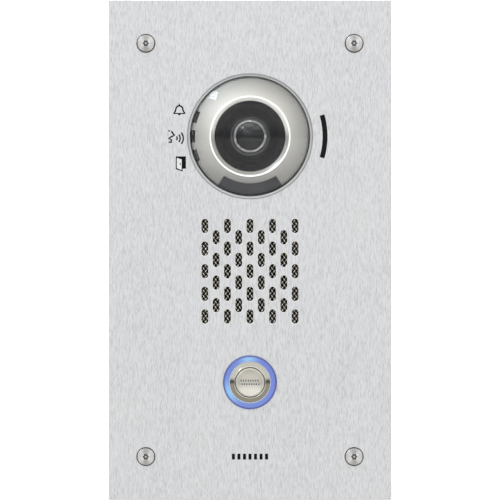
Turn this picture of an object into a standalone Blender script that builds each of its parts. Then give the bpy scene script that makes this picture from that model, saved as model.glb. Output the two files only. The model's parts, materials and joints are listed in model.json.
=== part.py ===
"""Flush-mounted door intercom panel: a steel face plate that carries a tilting camera under a
clear dome, a loudspeaker, a microphone and a lit call button, screwed to a steel wall box.

Frame: X to the right, Z up, the face looks along -Y. The origin is the centre of the plate on
the wall plane, which is the rear face of the plate's rim (y = 0). Run in Blender 4.5.
"""

import math

import bmesh
import bpy

MM = 0.001
FRONT_TO_Y = math.radians(90)  # turns a shape drawn in local XY so that its +Z looks along -Y

# Fits
SEAT = 0.3 * MM  # gap left where one piece rests on another
FIT = 0.3 * MM  # radial gap left where one piece passes through another

# Face plate
PLATE_WIDTH = 160.0 * MM
PLATE_HEIGHT = 282.4 * MM
PLATE_THICKNESS = 2.5 * MM
PLATE_SCREW_INSET_X = 21.2 * MM
PLATE_SCREW_INSET_Z = 24.5 * MM
REBATE_DEPTH = 0.3 * MM
REBATE_MARGIN = 1.0 * MM

# Tamper-proof plate screws
SCREW_HEAD_RADIUS = 4.9 * MM
SCREW_HEAD_HEIGHT = 2.4 * MM
SCREW_SHANK_RADIUS = 2.5 * MM
SCREW_LENGTH = 14.0 * MM
RECESS_RADIUS = 1.65 * MM
RECESS_LOBE = 0.28 * MM
RECESS_DEPTH = 1.5 * MM
RECESS_PIN_RADIUS = 0.6 * MM

# Wall box and its gasket
BOX_RIM_X = 13.0 * MM  # how far the plate stands past the box at each side
BOX_RIM_Z = 16.2 * MM
BOX_WALL = 1.2 * MM
BOX_FLANGE = 13.0 * MM
BOX_COLLAR_RADIUS = 4.2 * MM
BOX_COLLAR_LENGTH = 6.0 * MM
BOX_FIXING_RADIUS = 2.6 * MM
BOX_FIXING_INSET_X = 24.0 * MM
BOX_FIXING_INSET_Z = 34.0 * MM
GASKET_THICKNESS = 1.5 * MM
CABLE_SPACE = 5.0 * MM
GROMMET_BORE = 5.5 * MM
GROMMET_WAIST = 8.0 * MM
GROMMET_FLANGE = 10.5 * MM
GROMMET_LIP = 1.5 * MM

# Camera dome and the silver ring under it
CAMERA_FROM_TOP = 77.0 * MM
DOME_RADIUS = 35.2 * MM
DOME_SPHERE = 70.0 * MM
DOME_FILLET = 2.0 * MM
DOME_STEP = 1.0 * MM
DOME_WALL = 1.5 * MM
DOME_FLANGE_WIDTH = 3.3 * MM
DOME_FLANGE_THICKNESS = 1.6 * MM
DOME_GASKET_THICKNESS = 0.8 * MM
RING_WALL = 1.4 * MM
RING_LIP_RADIUS = 22.0 * MM
RING_THROAT_RADIUS = 19.9 * MM
RING_THROAT_DEPTH = 4.7 * MM
WINDOW_DEPTH = 2.2 * MM
WINDOW_HALF_ANGLE = 5.6
WINDOW_ANGLES = {"call": 160.3, "talk": 180.0, "door": 199.7}
NIGHT_WINDOW_DEPTH = 7.0 * MM
NIGHT_WINDOW_HALF_ANGLE = 33.3
CLAMP_CORNER = 10.0 * MM
CLAMP_MARGIN = 0.3 * MM
STUD_RADIUS = 1.5 * MM
STUD_FROM_CORNER = 5.3 * MM
STUD_SPARE = 0.8 * MM
NUT_RADIUS = 3.1 * MM
NUT_HEIGHT = 2.4 * MM
LED_BOARD_THICKNESS = 1.6 * MM

# Tilting camera
BALL_RADIUS = 16.6 * MM
BALL_WALL = 1.8 * MM
BALL_REAR_OPENING = 11.2 * MM
BALL_GAP = 0.4 * MM
SHROUD_OPENING_ANGLE = 65.0  # of the ball's surface left free in front, from its axis
SHROUD_WALL = 0.8 * MM
BRACKET_THICKNESS = 1.5 * MM
BRACKET_EAR = 1.4 * MM
BRACKET_EAR_HALF = 6.0 * MM
BRACKET_EAR_GAP = 2.4 * MM
BARREL_RADIUS = 9.3 * MM
BARREL_FRONT = 16.5 * MM  # from the pivot
BARREL_REAR = 6.0 * MM
BARREL_BORE = 6.0 * MM
LENS_RADIUS = 7.7 * MM
LENS_SPHERE = 14.0 * MM
LENS_SEAT = 3.5 * MM
LENS_RING_HEIGHT = 0.8 * MM
SENSOR_CLEARANCE = 1.2 * MM  # from its corners to the inside of the ball
SENSOR_THICKNESS = 1.6 * MM
PIN_RADIUS = 1.5 * MM
PIN_HEAD_RADIUS = 2.6 * MM
PIN_HEAD = 0.8 * MM
LEVER_HUB_RADIUS = 3.2 * MM
LEVER_THICKNESS = 1.2 * MM
LEVER_REACH = 22.0 * MM
LEVER_HALF_WIDTH = 2.2 * MM

# Loudspeaker behind its slots
SPEAKER_BELOW_BRACKET = 4.24 * MM  # from the camera bracket to the speaker's retainer
SLOT_WIDTH = 3.9 * MM
SLOT_LENGTH = 8.2 * MM
SLOT_PITCH_X = 6.37 * MM
SLOT_PITCH_Z = 12.78 * MM
SLOT_COLUMNS = 9
SLOT_ROWS = 5
MESH_THICKNESS = 0.5 * MM
MESH_MARGIN = 3.5 * MM
SPEAKER_RADIUS = 28.5 * MM
SPEAKER_RIM = 3.5 * MM
SPEAKER_DEPTH = 11.5 * MM
SPEAKER_SHEET = 1.0 * MM
SPEAKER_GASKET_THICKNESS = 1.5 * MM
MAGNET_RADIUS = 15.0 * MM
MAGNET_LENGTH = 7.2 * MM
CONE_SHEET = 0.6 * MM
DUST_CAP_RADIUS = 7.5 * MM
RETAINER_THICKNESS = 1.2 * MM
RETAINER_STUD_INSET = 2.9 * MM

# Microphone behind its arc slot
MIC_ARC_OUTSIDE_DOME = 7.2 * MM
MIC_ARC_WIDTH = 2.8 * MM
MIC_ARC_HALF_ANGLE = 16.5
MIC_BAFFLE_MARGIN = 1.5 * MM
MIC_BAFFLE_THICKNESS = 0.6 * MM
MIC_BOOT_SIDE = 7.0 * MM
MIC_BOOT_LENGTH = 7.0 * MM
MIC_CAPSULE_RADIUS = 2.4 * MM
MIC_CAPSULE_LENGTH = 4.5 * MM

# Call button
BUTTON_FROM_BOTTOM = 66.5 * MM
BUTTON_CAP_RADIUS = 8.2 * MM
BUTTON_CAP_THICKNESS = 3.0 * MM
BUTTON_TRAVEL = 2.0 * MM
BUTTON_BARREL_WALL = 1.0 * MM
BUTTON_FLANGE_WIDTH = 2.05 * MM  # outside the barrel
BUTTON_FLANGE_HEIGHT = 2.0 * MM
BUTTON_BARREL_LENGTH = 26.0 * MM
LIGHT_RING_WIDTH = 3.65 * MM  # what shows outside the metal flange
LIGHT_RING_HEIGHT = 2.0 * MM
LIGHT_RING_TUBE = 3.2 * MM
SEAL_HEIGHT = 0.8 * MM
PLUNGER_RADIUS = 2.8 * MM
PLUNGER_LENGTH = 18.5 * MM
SHELF_DEPTH = 12.0 * MM
SHELF_THICKNESS = 1.5 * MM
SPRING_WIRE = 0.35 * MM  # radius
SPRING_RADIUS = 4.8 * MM
SPRING_TURNS = 4.5
BUTTON_NUT_WIDTH = 4.0 * MM
BUTTON_NUT_HEIGHT = 4.0 * MM
BUTTON_SWITCH_LENGTH = 12.0 * MM

# Main board
BOARD_MARGIN = 4.0 * MM
BOARD_THICKNESS = 1.6 * MM
BOARD_BELOW_SPEAKER = 42.0 * MM
PILLAR_RADIUS = 3.0 * MM
PILLAR_INSET = 5.0 * MM
PILLAR_THREAD_DEPTH = 8.0 * MM
BOARD_SCREW_RADIUS = 1.5 * MM
BOARD_SCREW_HEAD = 2.8 * MM
COVER_HEIGHT = 8.0 * MM
COVER_WALL = 1.5 * MM
COVER_SHARE = 0.62  # share of the board's height under the cover
TERMINAL_WAYS = 8
TERMINAL_PITCH = 5.0 * MM
TERMINAL_DEPTH = 12.0 * MM
TERMINAL_HEIGHT = 10.0 * MM
TERMINAL_WIRE_RADIUS = 1.5 * MM
LEAD_RADIUS = 0.9 * MM

# Facets round a full turn
FINE = 48
MEDIUM = 32
COARSE = 20
SMALL = 12

# Depths along Y, worked out from the stack behind the plate
plate_front = -PLATE_THICKNESS
plate_back = -REBATE_DEPTH  # the rebated rear face, where everything inside starts
gasket_back = plate_back + SEAT + GASKET_THICKNESS
flange_front = gasket_back + SEAT
dome_gasket_back = plate_back + SEAT + DOME_GASKET_THICKNESS
dome_flange_front = dome_gasket_back + SEAT
dome_flange_back = dome_flange_front + DOME_FLANGE_THICKNESS
led_board_back = dome_flange_back - SEAT
bracket_front = dome_flange_back + SEAT
bracket_back = bracket_front + BRACKET_THICKNESS
clamp_nut_front = bracket_back + SEAT
ball_pivot_y = bracket_back + LEVER_HUB_RADIUS + 2 * SEAT
lever_tip = ball_pivot_y + LEVER_REACH
board_front = lever_tip + LEVER_HALF_WIDTH + 1.0 * MM
board_back = board_front + BOARD_THICKNESS
box_inside = board_back + SEAT + TERMINAL_DEPTH + CABLE_SPACE
box_back = box_inside + BOX_WALL

# Places on the plate
screw_x = PLATE_WIDTH / 2 - PLATE_SCREW_INSET_X
screw_z = PLATE_HEIGHT / 2 - PLATE_SCREW_INSET_Z
box_width = PLATE_WIDTH - 2 * BOX_RIM_X
box_height = PLATE_HEIGHT - 2 * BOX_RIM_Z
mouth_width = box_width - 2 * BOX_FLANGE
mouth_height = box_height - 2 * BOX_FLANGE
camera_z = PLATE_HEIGHT / 2 - CAMERA_FROM_TOP
button_z = -PLATE_HEIGHT / 2 + BUTTON_FROM_BOTTOM

# Camera window radii
dome_hole = DOME_RADIUS + FIT
dome_inside = DOME_RADIUS - DOME_WALL
dome_flange_radius = DOME_RADIUS + DOME_FLANGE_WIDTH
ring_outside = dome_inside - FIT
clamp_half = dome_flange_radius + CLAMP_MARGIN
mic_arc_radius = DOME_RADIUS + MIC_ARC_OUTSIDE_DOME
barrel_tip = ball_pivot_y - BARREL_FRONT

# Speaker panel
grille_width = (SLOT_COLUMNS - 1) * SLOT_PITCH_X + SLOT_WIDTH
grille_height = (SLOT_ROWS - 1) * SLOT_PITCH_Z + SLOT_LENGTH
retainer_width = max(grille_width, 2 * SPEAKER_RADIUS) + 2 * MESH_MARGIN
retainer_height = max(grille_height, 2 * SPEAKER_RADIUS) + 2 * MESH_MARGIN
speaker_z = camera_z - clamp_half - SPEAKER_BELOW_BRACKET - retainer_height / 2
speaker_front = plate_back + 3 * SEAT + MESH_THICKNESS + SPEAKER_GASKET_THICKNESS
retainer_front = speaker_front + SPEAKER_SHEET + SEAT
magnet_front = speaker_front + SPEAKER_DEPTH + SEAT

# Call button radii, from the cap outwards
barrel_bore = BUTTON_CAP_RADIUS + FIT
barrel_outside = barrel_bore + BUTTON_BARREL_WALL
flange_radius = barrel_outside + BUTTON_FLANGE_WIDTH
light_bore = barrel_outside + FIT
light_tube = light_bore + LIGHT_RING_TUBE
light_radius = flange_radius + LIGHT_RING_WIDTH
button_hole = light_tube + FIT
light_front = plate_front - SEAT - LIGHT_RING_HEIGHT
button_face = light_front - SEAT - BUTTON_FLANGE_HEIGHT
barrel_end = light_front + BUTTON_BARREL_LENGTH
shelf_front = button_face + SHELF_DEPTH
button_board_front = plate_back + 1.6 * MM
button_nut_front = button_board_front + LED_BOARD_THICKNESS + SEAT

# Board outline
board_width = mouth_width - 2 * BOARD_MARGIN
board_top = mouth_height / 2 - BOARD_MARGIN
board_bottom = speaker_z - BOARD_BELOW_SPEAKER
board_height = board_top - board_bottom
board_z = (board_top + board_bottom) / 2
pillar_x = board_width / 2 - PILLAR_INSET
stud_offset = min(clamp_half - STUD_FROM_CORNER,
                  pillar_x - PILLAR_RADIUS - NUT_RADIUS - 2 * FIT)  # clear of the pillars
pillar_zs = (board_bottom + PILLAR_INSET, board_top - PILLAR_INSET)
cover_height = board_height * COVER_SHARE
cover_z = board_top - cover_height / 2


def clear_scene():
    for old in list(bpy.data.objects):
        bpy.data.objects.remove(old)


def new_collection(name):
    made = bpy.data.collections.new(name)
    bpy.context.scene.collection.children.link(made)
    return made


def new_material(name, colour, roughness, metallic=0.0, alpha=1.0):
    material = bpy.data.materials.new(name)
    material.use_nodes = True
    shader = material.node_tree.nodes["Principled BSDF"]
    shader.inputs["Base Color"].default_value = (*colour, 1.0)
    shader.inputs["Roughness"].default_value = roughness
    shader.inputs["Metallic"].default_value = metallic
    shader.inputs["Alpha"].default_value = alpha
    return material


clear_scene()
PANEL = new_collection("door_intercom_panel")
CUTTERS = new_collection("cutters")
STEEL = new_material("brushed_stainless", (0.68, 0.69, 0.70), 0.38, 1.0)
SCREW_STEEL = new_material("screw_stainless", (0.62, 0.62, 0.62), 0.30, 1.0)
ZINC = new_material("galvanised_steel", (0.55, 0.57, 0.58), 0.45, 1.0)
CLEAR = new_material("clear_polycarbonate", (0.92, 0.94, 0.95), 0.03, 0.0, 0.25)
SILVER = new_material("silver_paint", (0.62, 0.61, 0.58), 0.35, 0.8)
SMOKED = new_material("smoked_window", (0.05, 0.05, 0.055), 0.25)
BLACK = new_material("black_plastic", (0.03, 0.03, 0.032), 0.5)
RUBBER = new_material("black_rubber", (0.02, 0.02, 0.02), 0.85)
GREY_METAL = new_material("satin_lens_ring", (0.30, 0.30, 0.31), 0.35, 1.0)
LENS_GLASS = new_material("coated_lens_glass", (0.04, 0.04, 0.05), 0.03)
BOARD_GREEN = new_material("green_circuit_board", (0.02, 0.16, 0.08), 0.45)
BUTTON_METAL = new_material("polished_button_metal", (0.60, 0.59, 0.54), 0.18, 1.0)
BLUE = new_material("blue_light_ring", (0.16, 0.27, 0.65), 0.2)
PAPER = new_material("speaker_cone_paper", (0.10, 0.10, 0.10), 0.9)
MESH_STEEL = new_material("woven_steel_mesh", (0.55, 0.55, 0.50), 0.35, 1.0)
GREEN_PLASTIC = new_material("green_terminal_plastic", (0.05, 0.30, 0.15), 0.5)
SPRING_STEEL = new_material("spring_steel", (0.50, 0.50, 0.50), 0.3, 1.0)


def link(shape, material):
    """Puts an object in the panel's collection with its material."""
    PANEL.objects.link(shape)
    shape.data.materials.clear()
    shape.data.materials.append(material)
    return shape


def as_cutter(shape):
    """Makes an object a helper: wire in the viewport and out of the render."""
    for collection in list(shape.users_collection):
        collection.objects.unlink(shape)
    CUTTERS.objects.link(shape)
    shape.hide_render = True
    shape.display_type = "WIRE"
    return shape


def boolean(shape, other, operation):
    modifier = shape.modifiers.new(operation.lower(), "BOOLEAN")
    modifier.operation = operation
    modifier.solver = "EXACT"
    modifier.object = as_cutter(other)


def cut(shape, *others):
    for other in others:
        boolean(shape, other, "DIFFERENCE")
    return shape


def join(shape, *others):
    for other in others:
        boolean(shape, other, "UNION")
    return shape


def copies(shape, names, places):
    """Replaces an object by copies of its finished mesh at the given places."""
    graph = bpy.context.evaluated_depsgraph_get()
    mesh = bpy.data.meshes.new_from_object(shape.evaluated_get(graph))
    turn = shape.rotation_euler.copy()
    bpy.data.objects.remove(shape)
    made = []
    for name, place in zip(names, places):
        copy = bpy.data.objects.new(name, mesh)
        copy.location = place
        copy.rotation_euler = turn
        PANEL.objects.link(copy)
        made.append(copy)
    return made


def box(name, size, centre, material):
    """A block, its size and centre in X, Y, Z."""
    mesh = bpy.data.meshes.new(name)
    cage = bmesh.new()
    bmesh.ops.create_cube(cage, size=1.0)
    bmesh.ops.scale(cage, vec=size, verts=cage.verts)
    cage.to_mesh(mesh)
    cage.free()
    shape = bpy.data.objects.new(name, mesh)
    shape.location = centre
    return link(shape, material)


def turned(name, profile, material, x=0.0, z=0.0, steps=MEDIUM):
    """A solid turned about an axis along Y. The profile is (radius, y), from the front inner edge
    outwards and back. It closes on itself, or on the axis where it starts with radius 0."""
    mesh = bpy.data.meshes.new(name)
    count = len(profile)
    open_ended = profile[0][0] == 0
    pairs = [(i, (i + 1) % count) for i in range(count - 1 if open_ended else count)]
    mesh.from_pydata([(radius, 0, -y) for radius, y in profile], pairs, [])
    shape = bpy.data.objects.new(name, mesh)
    screw = shape.modifiers.new("turn", "SCREW")
    screw.steps = steps
    screw.render_steps = steps
    screw.use_merge_vertices = True
    screw.merge_threshold = 0.00001
    shape.rotation_euler = (FRONT_TO_Y, 0, 0)
    shape.location = (x, 0, z)
    return link(shape, material)


def rod(name, radius, front, back, material, x=0.0, z=0.0, steps=SMALL):
    """A plain cylinder along Y."""
    mesh = bpy.data.meshes.new(name)
    cage = bmesh.new()
    bmesh.ops.create_cone(cage, cap_ends=True, segments=steps, radius1=radius, radius2=radius,
                          depth=back - front)
    cage.to_mesh(mesh)
    cage.free()
    shape = bpy.data.objects.new(name, mesh)
    shape.rotation_euler = (FRONT_TO_Y, 0, 0)
    shape.location = (x, (front + back) / 2, z)
    return link(shape, material)


def sideways(shape, centre_x, centre_y, centre_z):
    """Turns a shape that was made along Y so that it lies along X, its front to the right."""
    shape.rotation_euler = (0, math.radians(90), 0)
    shape.location = (centre_x, centre_y, centre_z)
    return shape


def circle(radius, x=0.0, z=0.0, count=SMALL):
    turn = 2 * math.pi / count
    return [(x + radius * math.cos(i * turn), z + radius * math.sin(i * turn))
            for i in range(count)]


def arc(radius, start, end, count, x=0.0, z=0.0):
    """Points on an arc from the start to the end angle, in degrees."""
    angles = [math.radians(start + (end - start) * i / count) for i in range(count + 1)]
    return [(x + radius * math.cos(a), z + radius * math.sin(a)) for a in angles]


def rectangle(width, height, x=0.0, z=0.0, corner=0.0, count=4):
    half_w, half_h = width / 2 - corner, height / 2 - corner
    if corner == 0:
        return [(x + half_w, z + half_h), (x - half_w, z + half_h),
                (x - half_w, z - half_h), (x + half_w, z - half_h)]
    signs = ((1, 1, 0), (-1, 1, 90), (-1, -1, 180), (1, -1, 270))
    points = []
    for sx, sz, start in signs:
        points += arc(corner, start, start + 90, count, x + sx * half_w, z + sz * half_h)
    return points


def upright_slot(width, length, x, z, count=4):
    """A slot with round ends, its long side along Z."""
    radius = width / 2
    rise = length / 2 - radius
    return arc(radius, 0, 180, count, x, z + rise) + arc(radius, 180, 360, count, x, z - rise)


def arc_band(inner, outer, start, end, count, x=0.0, z=0.0):
    """A band between two radii, from the start to the end angle."""
    return arc(outer, start, end, count, x, z) + arc(inner, end, start, count, x, z)


def outline(name, loops, front, back, material, as_mesh=False):
    """A flat solid between two depths. The first loop is its edge and the others are holes, each
    a list of (x, z) points."""
    curve = bpy.data.curves.new(name, "CURVE")
    curve.dimensions = "2D"
    curve.fill_mode = "BOTH"
    curve.extrude = (back - front) / 2
    for loop in loops:
        spline = curve.splines.new("POLY")
        spline.points.add(len(loop) - 1)
        spline.use_cyclic_u = True
        for point, (x, z) in zip(spline.points, loop):
            point.co = (x, z, 0, 1)
    shape = bpy.data.objects.new(name, curve)
    shape.rotation_euler = (FRONT_TO_Y, 0, 0)
    shape.location = (0, (front + back) / 2, 0)
    link(shape, material)
    return made_mesh(shape) if as_mesh else shape


def made_mesh(shape):
    """Replaces a curve object by the welded mesh of its shape, which a Boolean can use."""
    name = shape.name
    material = shape.data.materials[0]
    bpy.context.view_layer.update()
    graph = bpy.context.evaluated_depsgraph_get()
    mesh = bpy.data.meshes.new_from_object(shape.evaluated_get(graph))
    cage = bmesh.new()
    cage.from_mesh(mesh)
    bmesh.ops.remove_doubles(cage, verts=cage.verts, dist=0.001 * MM)
    cage.to_mesh(mesh)
    cage.free()
    matrix = shape.matrix_world.copy()
    bpy.data.objects.remove(shape)
    made = bpy.data.objects.new(name, mesh)
    made.matrix_world = matrix
    return link(made, material)


def tube(name, points, radius, material, resolution=2):
    """A round wire along a list of points."""
    curve = bpy.data.curves.new(name, "CURVE")
    curve.dimensions = "3D"
    curve.bevel_depth = radius
    curve.bevel_resolution = resolution
    curve.use_fill_caps = True
    spline = curve.splines.new("POLY")
    spline.points.add(len(points) - 1)
    for point, place in zip(spline.points, points):
        point.co = (*place, 1)
    return link(bpy.data.objects.new(name, curve), material)


def smooth_route(points, parts=5):
    """Points on a smooth curve through the given ones."""
    ends = [points[0]] + points + [points[-1]]
    route = []
    for i in range(len(points) - 1):
        a, b, c, d = ends[i:i + 4]
        for step in range(parts):
            t = step / parts
            route.append(tuple(
                b[k] + t * (c[k] - a[k]) / 2
                + t * t * (a[k] - 2.5 * b[k] + 2 * c[k] - d[k] / 2)
                + t ** 3 * (1.5 * (b[k] - c[k]) + (d[k] - a[k]) / 2)
                for k in range(3)))
    return route + [points[-1]]


def slot_places():
    """Centres of the speaker's slots: every other column has one slot fewer, half a pitch down."""
    places = []
    for column in range(SLOT_COLUMNS):
        rows = SLOT_ROWS - column % 2
        x = (column - (SLOT_COLUMNS - 1) / 2) * SLOT_PITCH_X
        for row in range(rows):
            places.append((x, speaker_z + (row - (rows - 1) / 2) * SLOT_PITCH_Z))
    return places


def retainer_studs():
    x = retainer_width / 2 - RETAINER_STUD_INSET
    z = retainer_height / 2 - RETAINER_STUD_INSET
    return [(-x, speaker_z + z), (x, speaker_z - z)]


def clamp_studs():
    return [(sx * stud_offset, camera_z + sz * stud_offset)
            for sz in (1, -1) for sx in (-1, 1)]


def pillar_places():
    return [(sx * pillar_x, z) for z in pillar_zs for sx in (-1, 1)]


def plate_screw_places():
    return [(sx * screw_x, sz * screw_z) for sz in (1, -1) for sx in (-1, 1)]


def carry(name, pivot, children):
    """Parents the pieces of a moving body to an empty that stands on its joint."""
    joint = bpy.data.objects.new(name, None)
    joint.location = pivot
    PANEL.objects.link(joint)
    bpy.context.view_layer.update()
    for child in children:
        piece = bpy.data.objects[child]
        piece.parent = joint
        piece.matrix_parent_inverse = joint.matrix_world.inverted()


def face_plate():
    """The plate, its rebate, its welded studs and the pillars that carry the board."""
    hole = SCREW_SHANK_RADIUS + FIT
    loops = [circle(hole, x, z) for x, z in plate_screw_places()]
    loops.append(circle(dome_hole, 0, camera_z, FINE))
    loops.append(circle(button_hole, 0, button_z, MEDIUM))
    loops += [upright_slot(SLOT_WIDTH, SLOT_LENGTH, x, z) for x, z in slot_places()]
    loops.append(arc_band(mic_arc_radius - MIC_ARC_WIDTH / 2, mic_arc_radius + MIC_ARC_WIDTH / 2,
                          -MIC_ARC_HALF_ANGLE, MIC_ARC_HALF_ANGLE, 10, 0, camera_z))
    plate = box("face_plate", (PLATE_WIDTH, PLATE_THICKNESS, PLATE_HEIGHT),
                (0, plate_front / 2, 0), STEEL)
    cut(plate, outline("plate_cutter", loops, 2 * plate_front, PLATE_THICKNESS, STEEL,
                       as_mesh=True))
    rebate = (box_width + 2 * REBATE_MARGIN, 2 * REBATE_DEPTH, box_height + 2 * REBATE_MARGIN)
    cut(plate, box("rebate_cutter", rebate, (0, 0, 0), STEEL))
    root = plate_back - PLATE_THICKNESS / 4
    clamp_end = clamp_nut_front + NUT_HEIGHT + STUD_SPARE
    retainer_end = retainer_front + RETAINER_THICKNESS + SEAT + NUT_HEIGHT + STUD_SPARE
    studs = [(place, clamp_end) for place in clamp_studs()]
    studs += [(place, retainer_end) for place in retainer_studs()]
    for (x, z), end in studs:
        join(plate, rod("stud", STUD_RADIUS, root, end, STEEL, x, z))
    for x, z in pillar_places():
        join(plate, rod("pillar", PILLAR_RADIUS, root, board_front - SEAT, STEEL, x, z))
        thread = rod("thread_cutter", BOARD_SCREW_RADIUS + FIT,
                     board_front - PILLAR_THREAD_DEPTH, board_front, STEEL, x, z)
        cut(plate, thread)
    return plate


def plate_screws():
    """Pan-head screws with a six-lobed recess round a centre pin."""
    head_back = plate_front - SEAT
    head_front = head_back - SCREW_HEAD_HEIGHT
    crown = 0.45 * SCREW_HEAD_HEIGHT
    dome = [(SCREW_HEAD_RADIUS * math.sin(t), head_front + crown * (1 - math.cos(t)))
            for t in [math.radians(90) * i / 5 for i in range(6)]]
    shank = [(SCREW_HEAD_RADIUS, head_back), (SCREW_SHANK_RADIUS, head_back),
             (SCREW_SHANK_RADIUS, head_back + SCREW_LENGTH), (0, head_back + SCREW_LENGTH)]
    screw = turned("plate_screw", dome + shank, SCREW_STEEL, steps=COARSE)
    count = 24
    lobes = [(RECESS_RADIUS + RECESS_LOBE * math.cos(6 * a)) for a in
             [2 * math.pi * i / count for i in range(count)]]
    star = [(r * math.cos(2 * math.pi * i / count), r * math.sin(2 * math.pi * i / count))
            for i, r in enumerate(lobes)]
    pin = circle(RECESS_PIN_RADIUS, count=8)
    cut(screw, outline("recess_cutter", [star, pin], head_front - SCREW_HEAD_HEIGHT,
                       head_front + RECESS_DEPTH, SCREW_STEEL, as_mesh=True))
    names = [f"plate_screw_{i + 1}" for i in range(4)]
    bpy.context.view_layer.update()
    copies(screw, names, [(x, 0, z) for x, z in plate_screw_places()])


def plate_gasket():
    hole = SCREW_SHANK_RADIUS + FIT
    loops = [rectangle(box_width, box_height), rectangle(mouth_width, mouth_height)]
    loops += [circle(hole, x, z) for x, z in plate_screw_places()]
    outline("plate_gasket", loops, plate_back + SEAT, gasket_back, RUBBER)


def wall_box():
    """The folded box: a shell with a turned-in flange, threaded collars, fixing holes and one
    cable entry in the bottom wall."""
    depth = box_back - flange_front
    middle = (box_back + flange_front) / 2
    shell = box("back_box", (box_width, depth, box_height), (0, middle, 0), ZINC)
    room = (box_width - 2 * BOX_WALL, depth - 2 * BOX_WALL, box_height - 2 * BOX_WALL)
    cut(shell, box("room_cutter", room, (0, middle, 0), ZINC))
    mouth = (mouth_width, depth, mouth_height)
    cut(shell, box("mouth_cutter", mouth, (0, middle - BOX_WALL, 0), ZINC))
    thread = SCREW_SHANK_RADIUS + FIT
    for x, z in plate_screw_places():
        collar_front = flange_front + BOX_WALL / 2
        join(shell, rod("collar", BOX_COLLAR_RADIUS, collar_front,
                        flange_front + BOX_COLLAR_LENGTH, ZINC, x, z))
        cut(shell, rod("thread_cutter", thread, flange_front - BOX_WALL,
                       flange_front + 2 * BOX_COLLAR_LENGTH, ZINC, x, z))
    x = box_width / 2 - BOX_FIXING_INSET_X
    z = box_height / 2 - BOX_FIXING_INSET_Z
    for sx in (-1, 1):
        for sz in (-1, 1):
            cut(shell, rod("fixing_cutter", BOX_FIXING_RADIUS, box_inside - BOX_WALL,
                           box_back + BOX_WALL, ZINC, sx * x, sz * z))
    entry = rod("entry_cutter", GROMMET_WAIST + FIT, -3 * BOX_WALL, 3 * BOX_WALL, ZINC,
                steps=COARSE)
    entry.rotation_euler = (0, 0, 0)
    entry.location = (0, grommet_y(), -box_height / 2)
    cut(shell, entry)


def grommet_y():
    return box_back - GROMMET_FLANGE - 4 * BOX_WALL


def cable_grommet():
    """A rubber bush that grips the edge of the cable entry, its axis along Z."""
    wall_in, wall_out = BOX_WALL + SEAT, -SEAT
    profile = [(GROMMET_BORE, wall_out - GROMMET_LIP), (GROMMET_FLANGE, wall_out - GROMMET_LIP),
               (GROMMET_FLANGE, wall_out), (GROMMET_WAIST, wall_out),
               (GROMMET_WAIST, wall_in), (GROMMET_FLANGE, wall_in),
               (GROMMET_FLANGE, wall_in + GROMMET_LIP), (GROMMET_BORE, wall_in + GROMMET_LIP)]
    grommet = turned("cable_grommet", profile, RUBBER, steps=COARSE)
    grommet.rotation_euler = (math.radians(180), 0, 0)
    grommet.location = (0, grommet_y(), -box_height / 2)


def dome_depth(radius, inset=0.0):
    """Depth of the dome's sphere at a radius, moved in by an inset."""
    fillet_y = plate_front - DOME_STEP
    reach = DOME_SPHERE - DOME_FILLET
    centre_y = fillet_y + math.sqrt(reach ** 2 - (DOME_RADIUS - DOME_FILLET) ** 2)
    return centre_y - math.sqrt((DOME_SPHERE - inset) ** 2 - radius ** 2)


def camera_dome():
    """The clear cover: a shallow bubble with a rounded shoulder and a flange behind the plate."""
    shoulder = (DOME_RADIUS - DOME_FILLET) * DOME_SPHERE / (DOME_SPHERE - DOME_FILLET)
    outer = [(shoulder * i / 6, dome_depth(shoulder * i / 6)) for i in range(7)]
    rise = math.degrees(math.acos(shoulder / DOME_SPHERE))
    fillet_r, fillet_y = DOME_RADIUS - DOME_FILLET, plate_front - DOME_STEP
    for i in range(1, 4):
        a = math.radians(rise * (1 - i / 3))
        outer.append((fillet_r + DOME_FILLET * math.cos(a), fillet_y - DOME_FILLET * math.sin(a)))
    outer += [(DOME_RADIUS, dome_flange_front), (dome_flange_radius, dome_flange_front),
              (dome_flange_radius, dome_flange_back), (dome_inside, dome_flange_back)]
    reach = dome_inside - DOME_FILLET / 4
    inner = [(dome_inside, fillet_y)]
    inner += [(reach * i / 5, dome_depth(reach * i / 5, DOME_WALL)) for i in range(5, -1, -1)]
    turned("camera_dome", outer + inner, CLEAR, 0, camera_z, FINE)


def camera_ring_blank(name, material):
    """The silver ring before its windows are cut, and the stock of the windows that fill them."""
    lip_y = dome_depth(RING_LIP_RADIUS, DOME_WALL + FIT)
    throat_y = lip_y + RING_THROAT_DEPTH
    count = 4
    radii = [RING_LIP_RADIUS + 0.6 * MM + (ring_outside - RING_LIP_RADIUS - 0.6 * MM) * i / count
             for i in range(count + 1)]
    front = [(r, dome_depth(r, DOME_WALL + FIT)) for r in radii]
    skirt_end = led_board_back - LED_BOARD_THICKNESS - SEAT
    skirt_in = ring_outside - RING_WALL
    back = [(ring_outside, skirt_end), (skirt_in, skirt_end)]
    back += [(r, y + RING_WALL) for r, y in reversed(front) if r < skirt_in]
    back.append((RING_THROAT_RADIUS + RING_WALL, throat_y))
    back.append((RING_THROAT_RADIUS, throat_y))
    lip = [(RING_LIP_RADIUS, lip_y + 0.5 * MM)]
    return turned(name, lip + front + back, material, 0, camera_z, FINE)


def window_stock(name, depth):
    """A plain ring with the silver ring's outer shape, from which a window is cut."""
    inner = ring_outside - depth
    mid = (inner + ring_outside) / 2
    front = [(r, dome_depth(r, DOME_WALL + FIT)) for r in (inner, mid, ring_outside)]
    back = [(ring_outside, front[2][1] + 2 * RING_WALL), (inner, front[2][1] + 2 * RING_WALL)]
    return turned(name, front + back, SMOKED, 0, camera_z, FINE)


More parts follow.
